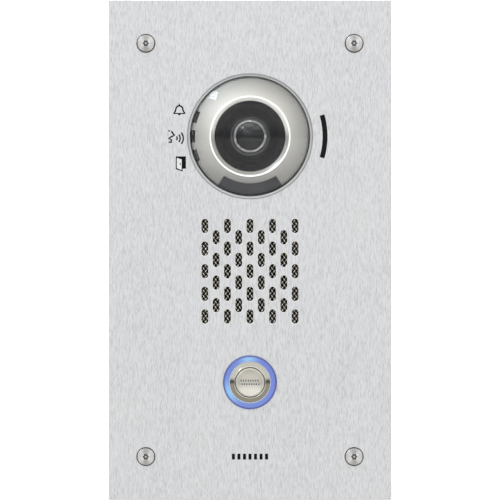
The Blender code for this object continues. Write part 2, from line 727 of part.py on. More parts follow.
def window_wedge(depth, half_angle, angle, gap, count):
    """A wedge that takes the part of a ring that belongs to a window."""
    lean = math.degrees(gap / ring_outside)
    band = arc_band(ring_outside - depth + gap, ring_outside + 3 * RING_WALL,
                    angle - half_angle + lean, angle + half_angle - lean, count, 0, camera_z)
    return outline("window_cutter", [band], 4 * plate_front - DOME_RADIUS / 2,
                   led_board_back, SMOKED, as_mesh=True)


def camera_ring():
    """The silver ring with its four windows, each filled by its own smoked piece."""
    ring = camera_ring_blank("camera_ring", SILVER)
    kinds = [(f"status_window_{name}", WINDOW_DEPTH, WINDOW_HALF_ANGLE, angle, 3)
             for name, angle in WINDOW_ANGLES.items()]
    kinds.append(("night_light_window", NIGHT_WINDOW_DEPTH, NIGHT_WINDOW_HALF_ANGLE, 270, 12))
    for name, depth, half_angle, angle, count in kinds:
        cut(ring, window_wedge(depth, half_angle, angle, 0, count))
        window = window_stock(name, depth)
        boolean(window, window_wedge(depth, half_angle, angle, 0.5 * FIT, count), "INTERSECT")


def camera_mounting():
    """The dome's seal, the board of status LEDs behind the silver ring, and the clamp nuts."""
    seal = [(dome_hole + FIT, plate_back + SEAT), (dome_flange_radius, plate_back + SEAT),
            (dome_flange_radius, dome_gasket_back), (dome_hole + FIT, dome_gasket_back)]
    turned("dome_gasket", seal, RUBBER, 0, camera_z)
    board_out, board_in = ring_outside, RING_THROAT_RADIUS + SHROUD_WALL + FIT
    board_front_y = led_board_back - LED_BOARD_THICKNESS
    turned("led_board", [(board_in, board_front_y), (board_out, board_front_y),
                         (board_out, led_board_back), (board_in, led_board_back)],
           BOARD_GREEN, 0, camera_z)
    hex_nut("clamp_nut", clamp_studs(), clamp_nut_front)


def hex_nut(name, places, front):
    """Small hexagonal nuts on studs, one object for each place."""
    loops = [circle(NUT_RADIUS, count=6), circle(STUD_RADIUS + FIT, count=12)]
    nut = outline(name, loops, front, front + NUT_HEIGHT, ZINC)
    middle = front + NUT_HEIGHT / 2
    bpy.context.view_layer.update()
    copies(nut, [f"{name}_{i + 1}" for i in range(len(places))],
           [(x, middle, z) for x, z in places])


def lens_shroud():
    """The black funnel between the silver ring and the camera ball."""
    front = dome_depth(RING_LIP_RADIUS, DOME_WALL + FIT) + RING_THROAT_DEPTH + SEAT
    clear = BALL_RADIUS + BALL_GAP
    free = math.radians(SHROUD_OPENING_ANGLE)
    opening, edge_y = clear * math.sin(free), ball_pivot_y - clear * math.cos(free)
    back = bracket_front - SEAT
    outside = RING_THROAT_RADIUS + SHROUD_WALL
    steps = [(outside - SHROUD_WALL - 0.5 * MM, front), (outside, front), (outside, back),
             (clear + FIT, back), (clear - FIT, ball_pivot_y - BALL_RADIUS / 3),
             (opening, edge_y), ((opening + outside) / 2, (front + edge_y) / 2)]
    turned("lens_shroud", steps, BLACK, 0, camera_z, FINE)


def camera_bracket():
    """The steel frame that clamps the dome, with two ears that the camera ball swings between."""
    edge = rectangle(2 * clamp_half, 2 * clamp_half, 0, camera_z, CLAMP_CORNER)
    holes = [circle(STUD_RADIUS + FIT, x, z) for x, z in clamp_studs()]
    waist = RING_THROAT_RADIUS + SHROUD_WALL + 2 * FIT
    opening = circle(waist, 0, camera_z, MEDIUM)
    bracket = outline("camera_bracket", [edge, opening] + holes, bracket_front, bracket_back,
                      ZINC, as_mesh=True)
    for x, z in pillar_places():
        cut(bracket, rod("pillar_cutter", PILLAR_RADIUS + 2 * FIT, plate_back, board_front, ZINC,
                         x, z))
    front, back = bracket_front + SEAT, ball_pivot_y + BRACKET_EAR_HALF
    for side in (-1, 1):
        x = side * ear_centre()
        join(bracket, box("ear", (BRACKET_EAR, back - front, 2 * BRACKET_EAR_HALF),
                          (x, (front + back) / 2, camera_z), ZINC))
        foot = (waist + BRACKET_EAR - abs(x) + BRACKET_EAR, BRACKET_THICKNESS - 2 * SEAT,
                2 * BRACKET_EAR_HALF)
        join(bracket, box("foot", foot, (x + side * foot[0] / 2, (bracket_front + bracket_back) / 2,
                                         camera_z), ZINC))
        hole = rod("pin_cutter", PIN_RADIUS + FIT, -2 * BRACKET_EAR, 2 * BRACKET_EAR, ZINC,
                   steps=SMALL)
        cut(bracket, sideways(hole, x, ball_pivot_y, camera_z))


def ear_centre():
    return BALL_RADIUS + BRACKET_EAR_GAP + BRACKET_EAR / 2


def camera_ball():
    """The hollow black ball that carries the lens and turns on two pins."""
    bore = BARREL_RADIUS + FIT
    inside = BALL_RADIUS - BALL_WALL
    front = math.degrees(math.asin(bore / BALL_RADIUS))
    back = 180 - math.degrees(math.asin(BALL_REAR_OPENING / BALL_RADIUS))
    outer = sphere_points(BALL_RADIUS, front, back, 8)
    back_in = 180 - math.degrees(math.asin(BALL_REAR_OPENING / inside))
    front_in = math.degrees(math.asin(bore / inside))
    inner = sphere_points(inside, back_in, front_in, 7)
    turned("camera_ball", outer + inner, BLACK, 0, camera_z)


def sphere_points(radius, start, end, count):
    """(radius, y) points on a sphere round the pivot, by the angle from the front pole."""
    angles = [math.radians(start + (end - start) * i / count) for i in range(count + 1)]
    return [(radius * math.sin(a), ball_pivot_y - radius * math.cos(a)) for a in angles]


def camera_optics():
    """Lens barrel, its trim ring, the front lens and the sensor board."""
    seat = barrel_tip + LENS_SEAT
    lens_bore = LENS_RADIUS + FIT
    rear = ball_pivot_y + BARREL_REAR
    barrel = [(lens_bore, barrel_tip), (BARREL_RADIUS, barrel_tip), (BARREL_RADIUS, rear),
              (BARREL_BORE, rear), (BARREL_BORE, seat), (lens_bore, seat)]
    turned("lens_barrel", barrel, BLACK, 0, camera_z)
    ring_front = barrel_tip - SEAT - LENS_RING_HEIGHT
    trim = [(lens_bore, ring_front), (BARREL_RADIUS - FIT, ring_front),
            (BARREL_RADIUS, ring_front + LENS_RING_HEIGHT / 2), (BARREL_RADIUS, barrel_tip - SEAT),
            (lens_bore, barrel_tip - SEAT)]
    turned("lens_ring", trim, GREY_METAL, 0, camera_z)
    sag = LENS_SPHERE - math.sqrt(LENS_SPHERE ** 2 - LENS_RADIUS ** 2)
    edge = barrel_tip - SEAT
    bulge = [(LENS_RADIUS * i / 4, edge - sag + LENS_SPHERE
              - math.sqrt(LENS_SPHERE ** 2 - (LENS_RADIUS * i / 4) ** 2)) for i in range(5)]
    turned("front_lens", bulge + [(LENS_RADIUS, seat - SEAT), (0, seat - SEAT)],
           LENS_GLASS, 0, camera_z)
    front = rear + SEAT
    reach = front + SENSOR_THICKNESS - ball_pivot_y
    room = math.sqrt((BALL_RADIUS - BALL_WALL) ** 2 - reach ** 2) - SENSOR_CLEARANCE
    side = math.sqrt(2) * room
    box("sensor_board", (side, SENSOR_THICKNESS, side),
        (0, front + SENSOR_THICKNESS / 2, camera_z), BOARD_GREEN)


def tilt_parts():
    """Pivot pins and the lever that sets the camera's tilt."""
    ear_out = ear_centre() + BRACKET_EAR / 2
    start = BALL_RADIUS + FIT
    lever_in = ear_out + SEAT
    lever_out = lever_in + LEVER_THICKNESS
    pin_right = [(0, -lever_out - SEAT - PIN_HEAD), (PIN_HEAD_RADIUS, -lever_out - SEAT - PIN_HEAD),
                 (PIN_HEAD_RADIUS, -lever_out - SEAT), (PIN_RADIUS, -lever_out - SEAT),
                 (PIN_RADIUS, -start), (0, -start)]
    pin = turned("tilt_pin_right", pin_right, SPRING_STEEL, steps=SMALL)
    sideways(pin, 0, ball_pivot_y, camera_z)
    end = ear_out + 2 * SEAT
    pin_left = [(0, -end - PIN_HEAD), (PIN_HEAD_RADIUS, -end - PIN_HEAD), (PIN_HEAD_RADIUS, -end),
                (PIN_RADIUS, -end), (PIN_RADIUS, -start), (0, -start)]
    pin = turned("tilt_pin_left", pin_left, SPRING_STEEL, steps=SMALL)
    pin.rotation_euler = (0, math.radians(-90), 0)
    pin.location = (0, ball_pivot_y, camera_z)
    hub = arc(LEVER_HUB_RADIUS, 40, 320, 14)
    tip = arc(LEVER_HALF_WIDTH, -90, 90, 6, LEVER_REACH, 0)
    lever = outline("tilt_lever", [hub + tip, circle(PIN_RADIUS + FIT)], -LEVER_THICKNESS / 2,
                    LEVER_THICKNESS / 2, BLACK)
    lever.rotation_euler = (math.radians(90), 0, math.radians(90))
    lever.location = ((lever_in + lever_out) / 2, ball_pivot_y, camera_z)


def speaker():
    """Mesh, gasket, basket, cone, magnet and the retainer that holds them to the plate."""
    mesh_front = plate_back + SEAT
    mesh_back = mesh_front + MESH_THICKNESS
    stud_holes = [circle(STUD_RADIUS + FIT, x, z) for x, z in retainer_studs()]
    edge = rectangle(retainer_width, retainer_height, 0, speaker_z)
    outline("speaker_mesh", [edge] + stud_holes, mesh_front, mesh_back, MESH_STEEL)
    inner = SPEAKER_RADIUS - SPEAKER_RIM
    gasket_hole = circle(inner, 0, speaker_z, MEDIUM)
    outline("speaker_gasket", [edge, gasket_hole] + stud_holes, mesh_back + SEAT,
            mesh_back + SEAT + SPEAKER_GASKET_THICKNESS, RUBBER)
    front, sheet = speaker_front, SPEAKER_SHEET
    back = front + SPEAKER_DEPTH
    neck = MAGNET_RADIUS - sheet
    centre_hole = DUST_CAP_RADIUS + FIT
    basket = [(inner, front), (SPEAKER_RADIUS, front), (SPEAKER_RADIUS, front + sheet),
              (inner + sheet, front + sheet), (neck, back - sheet), (neck, back),
              (centre_hole, back), (centre_hole, back - sheet), (neck - sheet, back - 2 * sheet),
              (inner, front + sheet)]
    turned("speaker_basket", basket, ZINC, 0, speaker_z)
    rim, rim_y = inner - 2 * FIT, front + FIT
    neck_y = front + SPEAKER_DEPTH - 4 * sheet
    cone = [(0, neck_y - 3 * MM), (DUST_CAP_RADIUS / 2, neck_y - 2.3 * MM),
            (DUST_CAP_RADIUS, neck_y), (rim, rim_y), (rim, rim_y + CONE_SHEET),
            (DUST_CAP_RADIUS, neck_y + CONE_SHEET), (DUST_CAP_RADIUS / 2, neck_y - 1.6 * MM),
            (0, neck_y - 2.3 * MM)]
    turned("speaker_cone", cone, PAPER, 0, speaker_z)
    rod("speaker_magnet", MAGNET_RADIUS, magnet_front, magnet_front + MAGNET_LENGTH,
        SPRING_STEEL, 0, speaker_z, MEDIUM)
    grip = circle(inner + sheet + 2 * FIT, 0, speaker_z, MEDIUM)
    outline("speaker_retainer", [edge, grip] + stud_holes, retainer_front,
            retainer_front + RETAINER_THICKNESS, ZINC)
    hex_nut("retainer_nut", retainer_studs(), retainer_front + RETAINER_THICKNESS + SEAT)


def microphone():
    """The black rubber boot whose flange fills the arc slot from behind, and its capsule."""
    half = MIC_ARC_WIDTH / 2 + MIC_BAFFLE_MARGIN
    widen = math.degrees(MIC_BAFFLE_MARGIN / mic_arc_radius)
    band = arc_band(mic_arc_radius - half, mic_arc_radius + half, -MIC_ARC_HALF_ANGLE - widen,
                    MIC_ARC_HALF_ANGLE + widen, 10, 0, camera_z)
    front = plate_back + SEAT
    boot = outline("mic_boot", [band], front, front + MIC_BAFFLE_THICKNESS, RUBBER, as_mesh=True)
    root = front + MIC_BAFFLE_THICKNESS / 2
    boot_back = root + MIC_BOOT_LENGTH
    centre_x = clamp_half + FIT + MIC_BOOT_SIDE / 2
    join(boot, box("boot_block", (MIC_BOOT_SIDE, MIC_BOOT_LENGTH, MIC_BOOT_SIDE),
                   (centre_x, (root + boot_back) / 2, camera_z), RUBBER))
    bore_front = boot_back - MIC_CAPSULE_LENGTH
    cut(boot, rod("bore_cutter", MIC_CAPSULE_RADIUS + FIT, bore_front, boot_back + FIT, RUBBER,
                  centre_x, camera_z))
    rod("mic_capsule", MIC_CAPSULE_RADIUS, bore_front + SEAT, boot_back, SPRING_STEEL,
        centre_x, camera_z)
    return centre_x, boot_back


def button_metal():
    """The metal body: a chamfered flange in front, a barrel, and a shelf that holds the spring."""
    shelf_hole = PLUNGER_RADIUS + FIT
    shelf_back = shelf_front + SHELF_THICKNESS
    chamfer = 0.65 * BUTTON_FLANGE_HEIGHT
    flange_back = light_front - SEAT
    body = [(barrel_bore, button_face), (barrel_bore + 0.4 * MM, button_face),
            (flange_radius, button_face + chamfer), (flange_radius, flange_back),
            (barrel_outside, flange_back), (barrel_outside, barrel_end), (barrel_bore, barrel_end),
            (barrel_bore, shelf_back), (shelf_hole, shelf_back), (shelf_hole, shelf_front),
            (barrel_bore, shelf_front)]
    turned("button_body", body, BUTTON_METAL, 0, button_z)


def button_light():
    """The translucent ring that glows round the button, its seal and its LED board."""
    seal_in = button_hole + FIT
    seal_out = light_radius - FIT
    seal_front = plate_front - SEAT - SEAL_HEIGHT
    rear = button_board_front - SEAT
    bulge = 0.5 * LIGHT_RING_HEIGHT
    ring = [(light_bore, light_front), (light_radius - bulge, light_front),
            (light_radius - 0.3 * bulge, light_front + 0.3 * bulge),
            (light_radius, light_front + bulge), (light_radius, plate_front - SEAT),
            (seal_out, plate_front - SEAT), (seal_out, seal_front - SEAT),
            (light_tube, seal_front - SEAT), (light_tube, rear), (light_bore, rear)]
    turned("button_light_ring", ring, BLUE, 0, button_z, FINE)
    seal = [(seal_in, seal_front), (seal_out - SEAT, seal_front),
            (seal_out - SEAT, plate_front - SEAT), (seal_in, plate_front - SEAT)]
    turned("button_seal", seal, RUBBER, 0, button_z)
    edge = button_board_front
    board = [(light_bore, edge), (light_radius, edge), (light_radius, edge + LED_BOARD_THICKNESS),
             (light_bore, edge + LED_BOARD_THICKNESS)]
    turned("button_led_board", board, BOARD_GREEN, 0, button_z)


def button_moving():
    """The cap that a finger presses and the plunger behind it."""
    front = button_face + 0.2 * MM
    back = front + BUTTON_CAP_THICKNESS
    dish = 0.35 * MM
    cap = [(0, front + dish), (0.5 * BUTTON_CAP_RADIUS, front + 0.75 * dish),
           (0.92 * BUTTON_CAP_RADIUS, front), (BUTTON_CAP_RADIUS, front + 0.4 * MM),
           (BUTTON_CAP_RADIUS, back), (0, back)]
    turned("button_cap", cap, BUTTON_METAL, 0, button_z)
    rod("button_plunger", PLUNGER_RADIUS, back + SEAT, plunger_end(), BLACK, 0, button_z)
    spring_start = back + SPRING_WIRE + SEAT
    spring_end = shelf_front - SPRING_WIRE - SEAT
    count = round(SPRING_TURNS * 12)
    points = []
    for i in range(count + 1):
        a = 2 * math.pi * SPRING_TURNS * i / count
        points.append((SPRING_RADIUS * math.cos(a),
                       spring_start + (spring_end - spring_start) * i / count,
                       button_z + SPRING_RADIUS * math.sin(a)))
    tube("button_spring", points, SPRING_WIRE, SPRING_STEEL, 1)


def plunger_end():
    return button_face + 0.2 * MM + BUTTON_CAP_THICKNESS + SEAT + PLUNGER_LENGTH


def button_rear():
    """Hexagonal nut behind the plate, and the switch block that the plunger works."""
    loops = [circle(barrel_outside + BUTTON_NUT_WIDTH, 0, button_z, 6),
             circle(barrel_outside + FIT, 0, button_z, MEDIUM)]
    outline("button_nut", loops, button_nut_front, button_nut_front + BUTTON_NUT_HEIGHT, ZINC)
    front = plunger_end() + BUTTON_TRAVEL + FIT
    back = front + BUTTON_SWITCH_LENGTH
    nose = barrel_bore - FIT
    step = max(front + SEAT, barrel_end + FIT)
    block = [(0, front), (nose, front), (nose, step), (barrel_outside, step),
             (barrel_outside, back), (0, back)]
    turned("button_switch", block, BLACK, 0, button_z, COARSE)
    return back


def main_board():
    """Circuit board on four pillars, its cover, its screws and the terminal block."""
    holes = [circle(BOARD_SCREW_RADIUS + FIT, x, z) for x, z in pillar_places()]
    edge = rectangle(board_width, board_height, 0, board_z, 2 * MM, 2)
    outline("main_board", [edge] + holes, board_front, board_back, BOARD_GREEN)
    front, back = board_back + SEAT, board_back + SEAT + COVER_HEIGHT
    cover = box("board_cover", (board_width, COVER_HEIGHT, cover_height),
                (0, (front + back) / 2, cover_z), BLACK)
    room = (board_width - 2 * COVER_WALL, COVER_HEIGHT, cover_height - 2 * COVER_WALL)
    cut(cover, box("room_cutter", room, (0, (front + back) / 2 - COVER_WALL, cover_z), BLACK))
    tops = [place for place in pillar_places() if place[1] > board_z]
    for x, z in tops:
        boss = box("boss", (2 * PILLAR_INSET - FIT, COVER_HEIGHT - 2 * SEAT, 2 * PILLAR_INSET - FIT),
                   (x, (front + back) / 2, z), BLACK)
        join(cover, boss)
        cut(cover, rod("screw_cutter", BOARD_SCREW_RADIUS + FIT, front - FIT, back + FIT, BLACK,
                       x, z))
    for i, (x, z) in enumerate(pillar_places()):
        head_front = (back if (x, z) in tops else board_back) + SEAT
        end = board_front - PILLAR_THREAD_DEPTH + 2 * SEAT
        shape = [(0, end), (BOARD_SCREW_RADIUS, end), (BOARD_SCREW_RADIUS, head_front),
                 (BOARD_SCREW_HEAD, head_front), (BOARD_SCREW_HEAD, head_front + 1.6 * MM),
                 (0, head_front + 1.6 * MM)]
        turned(f"board_screw_{i + 1}", shape, ZINC, x, z, SMALL)


def terminal_block():
    """A row of screw terminals with a wire entry in the bottom of each way."""
    width = TERMINAL_WAYS * TERMINAL_PITCH + 2 * MM
    front = board_back + SEAT
    z = pillar_zs[0] + TERMINAL_HEIGHT / 2
    block = box("terminal_block", (width, TERMINAL_DEPTH, TERMINAL_HEIGHT),
                (0, front + TERMINAL_DEPTH / 2, z), GREEN_PLASTIC)
    for way in range(TERMINAL_WAYS):
        x = (way - (TERMINAL_WAYS - 1) / 2) * TERMINAL_PITCH
        wire = rod("wire_cutter", TERMINAL_WIRE_RADIUS, -TERMINAL_HEIGHT, 0, GREEN_PLASTIC,
                   steps=8)
        wire.rotation_euler = (0, 0, 0)
        wire.location = (x, front + TERMINAL_DEPTH / 3, z - 1.2 * TERMINAL_HEIGHT)
        cut(block, wire)
        screw = rod("screw_cutter", TERMINAL_WIRE_RADIUS, front + TERMINAL_DEPTH - 2 * MM,
                    front + TERMINAL_DEPTH + MM, GREEN_PLASTIC, x, z, 8)
        cut(block, screw)


def leads(mic_x, mic_back, switch_back):
    """Wires from the speaker, microphone, camera and switch to the board."""
    end = board_front - SEAT - LEAD_RADIUS / 2
    start = magnet_front + MAGNET_LENGTH + SEAT
    x = MAGNET_RADIUS / 2
    tube("speaker_lead", smooth_route([
        (x, start, speaker_z), (x, start + 3 * MM, speaker_z),
        (x + 3 * MM, start + 5 * MM, speaker_z - 4 * MM),
        (x + 4 * MM, end - 3 * MM, speaker_z - 8 * MM), (x + 4 * MM, end, speaker_z - 8 * MM)]),
        LEAD_RADIUS, BLACK, 1)
    start = mic_back + SEAT
    tube("mic_lead", smooth_route([
        (mic_x, start, camera_z), (mic_x, start + 4 * MM, camera_z),
        (mic_x - MM, (start + end) / 2, camera_z - 4 * MM),
        (mic_x - 2 * MM, end - 4 * MM, camera_z - 8 * MM), (mic_x - 2 * MM, end, camera_z - 8 * MM)]),
        LEAD_RADIUS, BLACK, 1)
    start = ball_pivot_y + BARREL_REAR + SENSOR_THICKNESS + 2 * SEAT
    tube("camera_lead", smooth_route([
        (0, start, camera_z), (0, start + 3 * MM, camera_z),
        (0, (start + end) / 2, camera_z - 2 * MM),
        (0, end - 3 * MM, camera_z - 4 * MM), (0, end, camera_z - 4 * MM)]),
        LEAD_RADIUS, BLACK, 1)
    start = switch_back + SEAT
    turn = board_bottom - 3 * MM
    tube("button_lead", smooth_route([
        (0, start, button_z), (0, start + 3 * MM, button_z),
        (0, start + 5 * MM, button_z + 4 * MM), (0, board_back + 6 * MM, turn),
        (0, board_back + 3 * MM, board_bottom + 1.5 * MM),
        (0, board_back + SEAT + LEAD_RADIUS / 2, board_bottom + 2 * MM)]),
        LEAD_RADIUS, BLACK, 1)


face_plate()
plate_screws()
plate_gasket()
wall_box()
cable_grommet()
camera_dome()
camera_ring()
camera_mounting()
lens_shroud()
camera_bracket()
camera_ball()
camera_optics()
tilt_parts()
speaker()
mic_place = microphone()
button_metal()
button_light()
button_moving()
switch_end = button_rear()
main_board()
terminal_block()
leads(*mic_place, switch_end)
carry("camera_tilt_axis", (0, ball_pivot_y, camera_z), [
    "camera_ball", "lens_barrel", "lens_ring", "front_lens", "sensor_board", "tilt_pin_left",
    "tilt_pin_right", "tilt_lever"])
carry("button_press_axis", (0, button_face, button_z), ["button_cap", "button_plunger"])
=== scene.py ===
import json
import math

import bpy
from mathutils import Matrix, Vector


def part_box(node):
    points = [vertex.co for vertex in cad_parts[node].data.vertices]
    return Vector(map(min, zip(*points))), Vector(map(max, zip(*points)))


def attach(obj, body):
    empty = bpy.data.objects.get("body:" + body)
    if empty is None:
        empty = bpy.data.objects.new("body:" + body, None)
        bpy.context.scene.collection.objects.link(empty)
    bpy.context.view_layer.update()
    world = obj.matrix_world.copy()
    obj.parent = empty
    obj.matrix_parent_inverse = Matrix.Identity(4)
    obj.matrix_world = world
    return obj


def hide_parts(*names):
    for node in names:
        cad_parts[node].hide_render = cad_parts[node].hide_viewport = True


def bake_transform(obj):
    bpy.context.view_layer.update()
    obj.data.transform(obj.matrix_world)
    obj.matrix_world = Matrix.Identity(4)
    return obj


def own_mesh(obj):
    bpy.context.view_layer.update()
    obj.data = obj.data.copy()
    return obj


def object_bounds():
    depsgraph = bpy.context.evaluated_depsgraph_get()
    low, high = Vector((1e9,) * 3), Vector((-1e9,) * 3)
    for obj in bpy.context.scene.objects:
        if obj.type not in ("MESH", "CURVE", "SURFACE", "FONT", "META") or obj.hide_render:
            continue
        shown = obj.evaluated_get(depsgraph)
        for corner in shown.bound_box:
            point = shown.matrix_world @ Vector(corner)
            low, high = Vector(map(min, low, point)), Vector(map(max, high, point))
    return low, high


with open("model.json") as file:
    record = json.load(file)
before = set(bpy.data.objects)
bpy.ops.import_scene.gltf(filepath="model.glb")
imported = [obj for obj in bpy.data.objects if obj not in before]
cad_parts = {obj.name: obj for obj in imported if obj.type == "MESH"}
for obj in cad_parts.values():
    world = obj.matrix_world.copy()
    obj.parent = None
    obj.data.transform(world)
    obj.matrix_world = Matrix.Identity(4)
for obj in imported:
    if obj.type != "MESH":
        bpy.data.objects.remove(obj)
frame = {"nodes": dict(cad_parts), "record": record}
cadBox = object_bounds()
mm = 0.001
joints = {joint["name"]: joint for joint in frame["record"]["behaviour"]["joints"]}


def middle(node):
    low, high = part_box(node)
    return (low + high) / 2


def halfWidth(node):
    low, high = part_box(node)
    return (high.x - low.x) / 2 / mm


def front(node):
    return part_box(node)[0].y / mm


def back(node):
    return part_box(node)[1].y / mm


plateFront, plateBack = front("face_plate"), 0.0
cameraZ = middle("camera_dome").z
speakerZ = middle("speaker_mesh").z
buttonZ = middle("button_cap").z
pivotY = joints["camera_tilt"]["pos_m"][1] / mm

mesh = dict(wide=2.28, high=3.16, wire=0.2, lift=0.26, margin=1.2)  # the weave behind the slots

# ---- stage, camera and lights

view = dict(distance=3.0, sensor=36.0)
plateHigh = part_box("face_plate")[1].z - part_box("face_plate")[0].z

camera = bpy.data.objects.new("camera", bpy.data.cameras.new("camera"))
bpy.context.scene.collection.objects.link(camera)
camera.location = (0, plateFront * mm - view["distance"], 0)
camera.rotation_euler = (math.radians(90), 0, 0)
camera.data.sensor_width = view["sensor"]
camera.data.lens = view["sensor"] * view["distance"] / plateHigh
camera.data.clip_end = 20
bpy.context.scene.camera = camera
bpy.context.scene.view_settings.view_transform = "Standard"

# a bright ceiling, a dim floor and a dark line between them
sky = dict(ceiling=(0.90, 0.89, 0.84), ground=(0.45, 0.43, 0.36), horizon=(0.07, 0.07, 0.065))


def makeStudioSky():
    world = bpy.data.worlds.new("studio")
    world.use_nodes = True
    tree = world.node_tree
    direction = tree.nodes.new("ShaderNodeTexCoord")
    split = tree.nodes.new("ShaderNodeSeparateXYZ")
    ramp = tree.nodes.new("ShaderNodeValToRGB")
    tree.links.new(direction.outputs["Generated"], split.inputs[0])
    level = tree.nodes.new("ShaderNodeMapRange")
    level.inputs["From Min"].default_value = -1.0
    tree.links.new(split.outputs["Z"], level.inputs["Value"])
    tree.links.new(level.outputs["Result"], ramp.inputs["Fac"])
    stops = ramp.color_ramp.elements
    stops[0].position, stops[0].color = 0.0, (*sky["ground"], 1)
    stops[1].position, stops[1].color = 1.0, (*sky["ceiling"], 1)
    for position, colour in ((0.44, "ground"), (0.49, "horizon"), (0.53, "horizon"), (0.60, "ceiling")):
        stops.new(position).color = (*sky[colour], 1)
    tree.links.new(ramp.outputs["Color"], tree.nodes["Background"].inputs["Color"])
    bpy.context.scene.world = world


makeStudioSky()

# soft cards round the object: size, place, glow and colour
cards = {
    "frontCard": dict(size=(4.4, 4.4), place=(0, -3.4, 0), glow=0.71, colour=(0.955, 0.968, 1.0)),
    "keyBox": dict(size=(0.34, 0.34), place=(-1.333, -1.434, 1.62), glow=21.0, colour=(0.78, 0.88, 1.0)),
}


def addCard(name, size, place, glow, colour):
    light = bpy.data.lights.new(name, "AREA")
    light.shape = "RECTANGLE"
    light.size, light.size_y = size
    light.energy = glow * math.pi * size[0] * size[1]
    light.color = colour
    card = bpy.data.objects.new(name, light)
    card.location = place
    card.rotation_euler = (-Vector(place)).to_track_quat("-Z", "Y").to_euler()
    bpy.context.scene.collection.objects.link(card)


for name, values in cards.items():
    addCard(name, **values)

# ---- modelling helpers


def deselectAll():
    if bpy.context.object and bpy.context.object.mode != "OBJECT":
        bpy.ops.object.mode_set(mode="OBJECT")
    bpy.ops.object.select_all(action="DESELECT")


def takeUp(piece):
    deselectAll()
    piece.select_set(True)
    bpy.context.view_layer.objects.active = piece


def settle(piece):
    takeUp(piece)
    bpy.ops.object.transform_apply(location=True, rotation=True, scale=True)
    return piece


def smooth(piece, angle=32):
    takeUp(piece)
    bpy.ops.object.shade_smooth_by_angle(angle=math.radians(angle))
    return piece


def trueFlats(piece, angle=32):
    # big flat faces keep their own direction; only the rounded edges blend
    smooth(piece, angle)
    return applyModifier(piece, "WEIGHTED_NORMAL", mode="FACE_AREA", weight=90, keep_sharp=True)


def applyModifier(piece, kind, **values):
    takeUp(piece)
    modifier = piece.modifiers.new(kind.lower(), kind)
    for key, value in values.items():
        setattr(modifier, key, value)
    bpy.ops.object.modifier_apply(modifier=modifier.name)
    return piece


def rounded(piece, width, segments=3, angle=40):
    applyModifier(piece, "BEVEL", width=width * mm, segments=segments, limit_method="ANGLE",
                  angle_limit=math.radians(angle))
    return piece


def cutWith(piece, cutter, operation="DIFFERENCE"):
    applyModifier(piece, "BOOLEAN", object=cutter, operation=operation, solver="EXACT")
    bpy.data.objects.remove(cutter)
    return piece


def joined(pieces, name):
    deselectAll()
    for piece in pieces:
        piece.select_set(True)
    bpy.context.view_layer.objects.active = pieces[0]
    bpy.ops.object.join()
    pieces[0].name = name
    return pieces[0]


def copyOf(piece, name, move):
    copy = piece.copy()
    copy.data = piece.data.copy()
    copy.name = name
    copy.location = Vector(piece.location) + Vector(move)
    bpy.context.scene.collection.objects.link(copy)
    return settle(copy)


def weld(piece, threshold=0.001, outward=True):
    # merges points nearer than the threshold, in mm, and turns the faces outward
    takeUp(piece)
    bpy.ops.object.mode_set(mode="EDIT")
    bpy.ops.mesh.select_all(action="SELECT")
    if threshold:
        bpy.ops.mesh.remove_doubles(threshold=threshold * mm)
    if outward:
        bpy.ops.mesh.normals_make_consistent(inside=False)
    bpy.ops.object.mode_set(mode="OBJECT")


def moved(piece, spot, turn=(0, 0, 0)):
    piece.rotation_euler = [math.radians(angle) for angle in turn]
    piece.location = spot
    return settle(piece)


def turned(name, rings, x=0.0, z=0.0, steps=96, flip=(0, 0, 0)):
    # a circle extruded from ring to ring; each ring is (radius, y) in mm
    deselectAll()
    tiny = 0.0005
    bpy.ops.mesh.primitive_circle_add(vertices=steps, radius=max(rings[0][0], tiny) * mm,
                                      rotation=(math.radians(90), 0, 0))
    piece = bpy.context.object
    piece.name = name
    bpy.ops.object.transform_apply(location=False, rotation=True, scale=True)
    bpy.ops.object.mode_set(mode="EDIT")
    bpy.ops.mesh.select_all(action="SELECT")
    for before, after in zip(rings, rings[1:]):
        bpy.ops.mesh.extrude_region_move(
            TRANSFORM_OT_translate={"value": (0, (after[1] - before[1]) * mm, 0)})
        grow = max(after[0], tiny) / max(before[0], tiny)
        bpy.ops.transform.resize(value=(grow, 1, grow))
    weld(piece, 0.002)
    return moved(piece, (x, rings[0][1] * mm, z), flip)


def block(name, low, high):
    # a cube between two corners in mm
    deselectAll()
    low, high = Vector(low) * mm, Vector(high) * mm
    bpy.ops.mesh.primitive_cube_add(size=1, location=(low + high) / 2, scale=high - low)
    piece = bpy.context.object
    piece.name = name
    return settle(piece)


def spread(start, end, count):
    return [start + (end - start) * i / count for i in range(count + 1)]


def arc(r, y, radius, start, end, count):
    # ring places on an arc round (r, y): 0 degrees is outward and 90 degrees is the front
    turns = [math.radians(angle) for angle in spread(start, end, count)]
    return [(r + radius * math.cos(t), y - radius * math.sin(t)) for t in turns]


def ringPoints(radius, start=0.0, end=360.0, count=48, x=0.0, z=0.0):
    turns = [math.radians(angle) for angle in spread(start, end, count)]
    points = [(x + radius * math.cos(t), z + radius * math.sin(t)) for t in turns]
    return points[:-1] if abs(end - start) == 360 else points


def bandPoints(inner, outer, start, end, count=24, x=0.0, z=0.0):
    return (ringPoints(outer, start, end, count, x, z)
            + ringPoints(inner, end, start, count, x, z))


def rectangle(left, right, low, high):
    return [(left, low), (right, low), (right, high), (left, high)]


def curveMesh(name, loops, cyclic, **settings):
    # curves through points in metres, made a mesh
    deselectAll()
    curve = bpy.data.curves.new(name, "CURVE")
    for key, value in settings.items():
        setattr(curve, key, value)
    for loop in loops:
        spline = curve.splines.new("POLY")
        spline.points.add(len(loop) - 1)
        spline.use_cyclic_u = cyclic
        for point, spot in zip(spline.points, loop):
            point.co = (*spot, 1)
    piece = bpy.data.objects.new(name, curve)
    bpy.context.scene.collection.objects.link(piece)
    takeUp(piece)
    bpy.ops.object.convert(target="MESH")
    return bpy.context.object


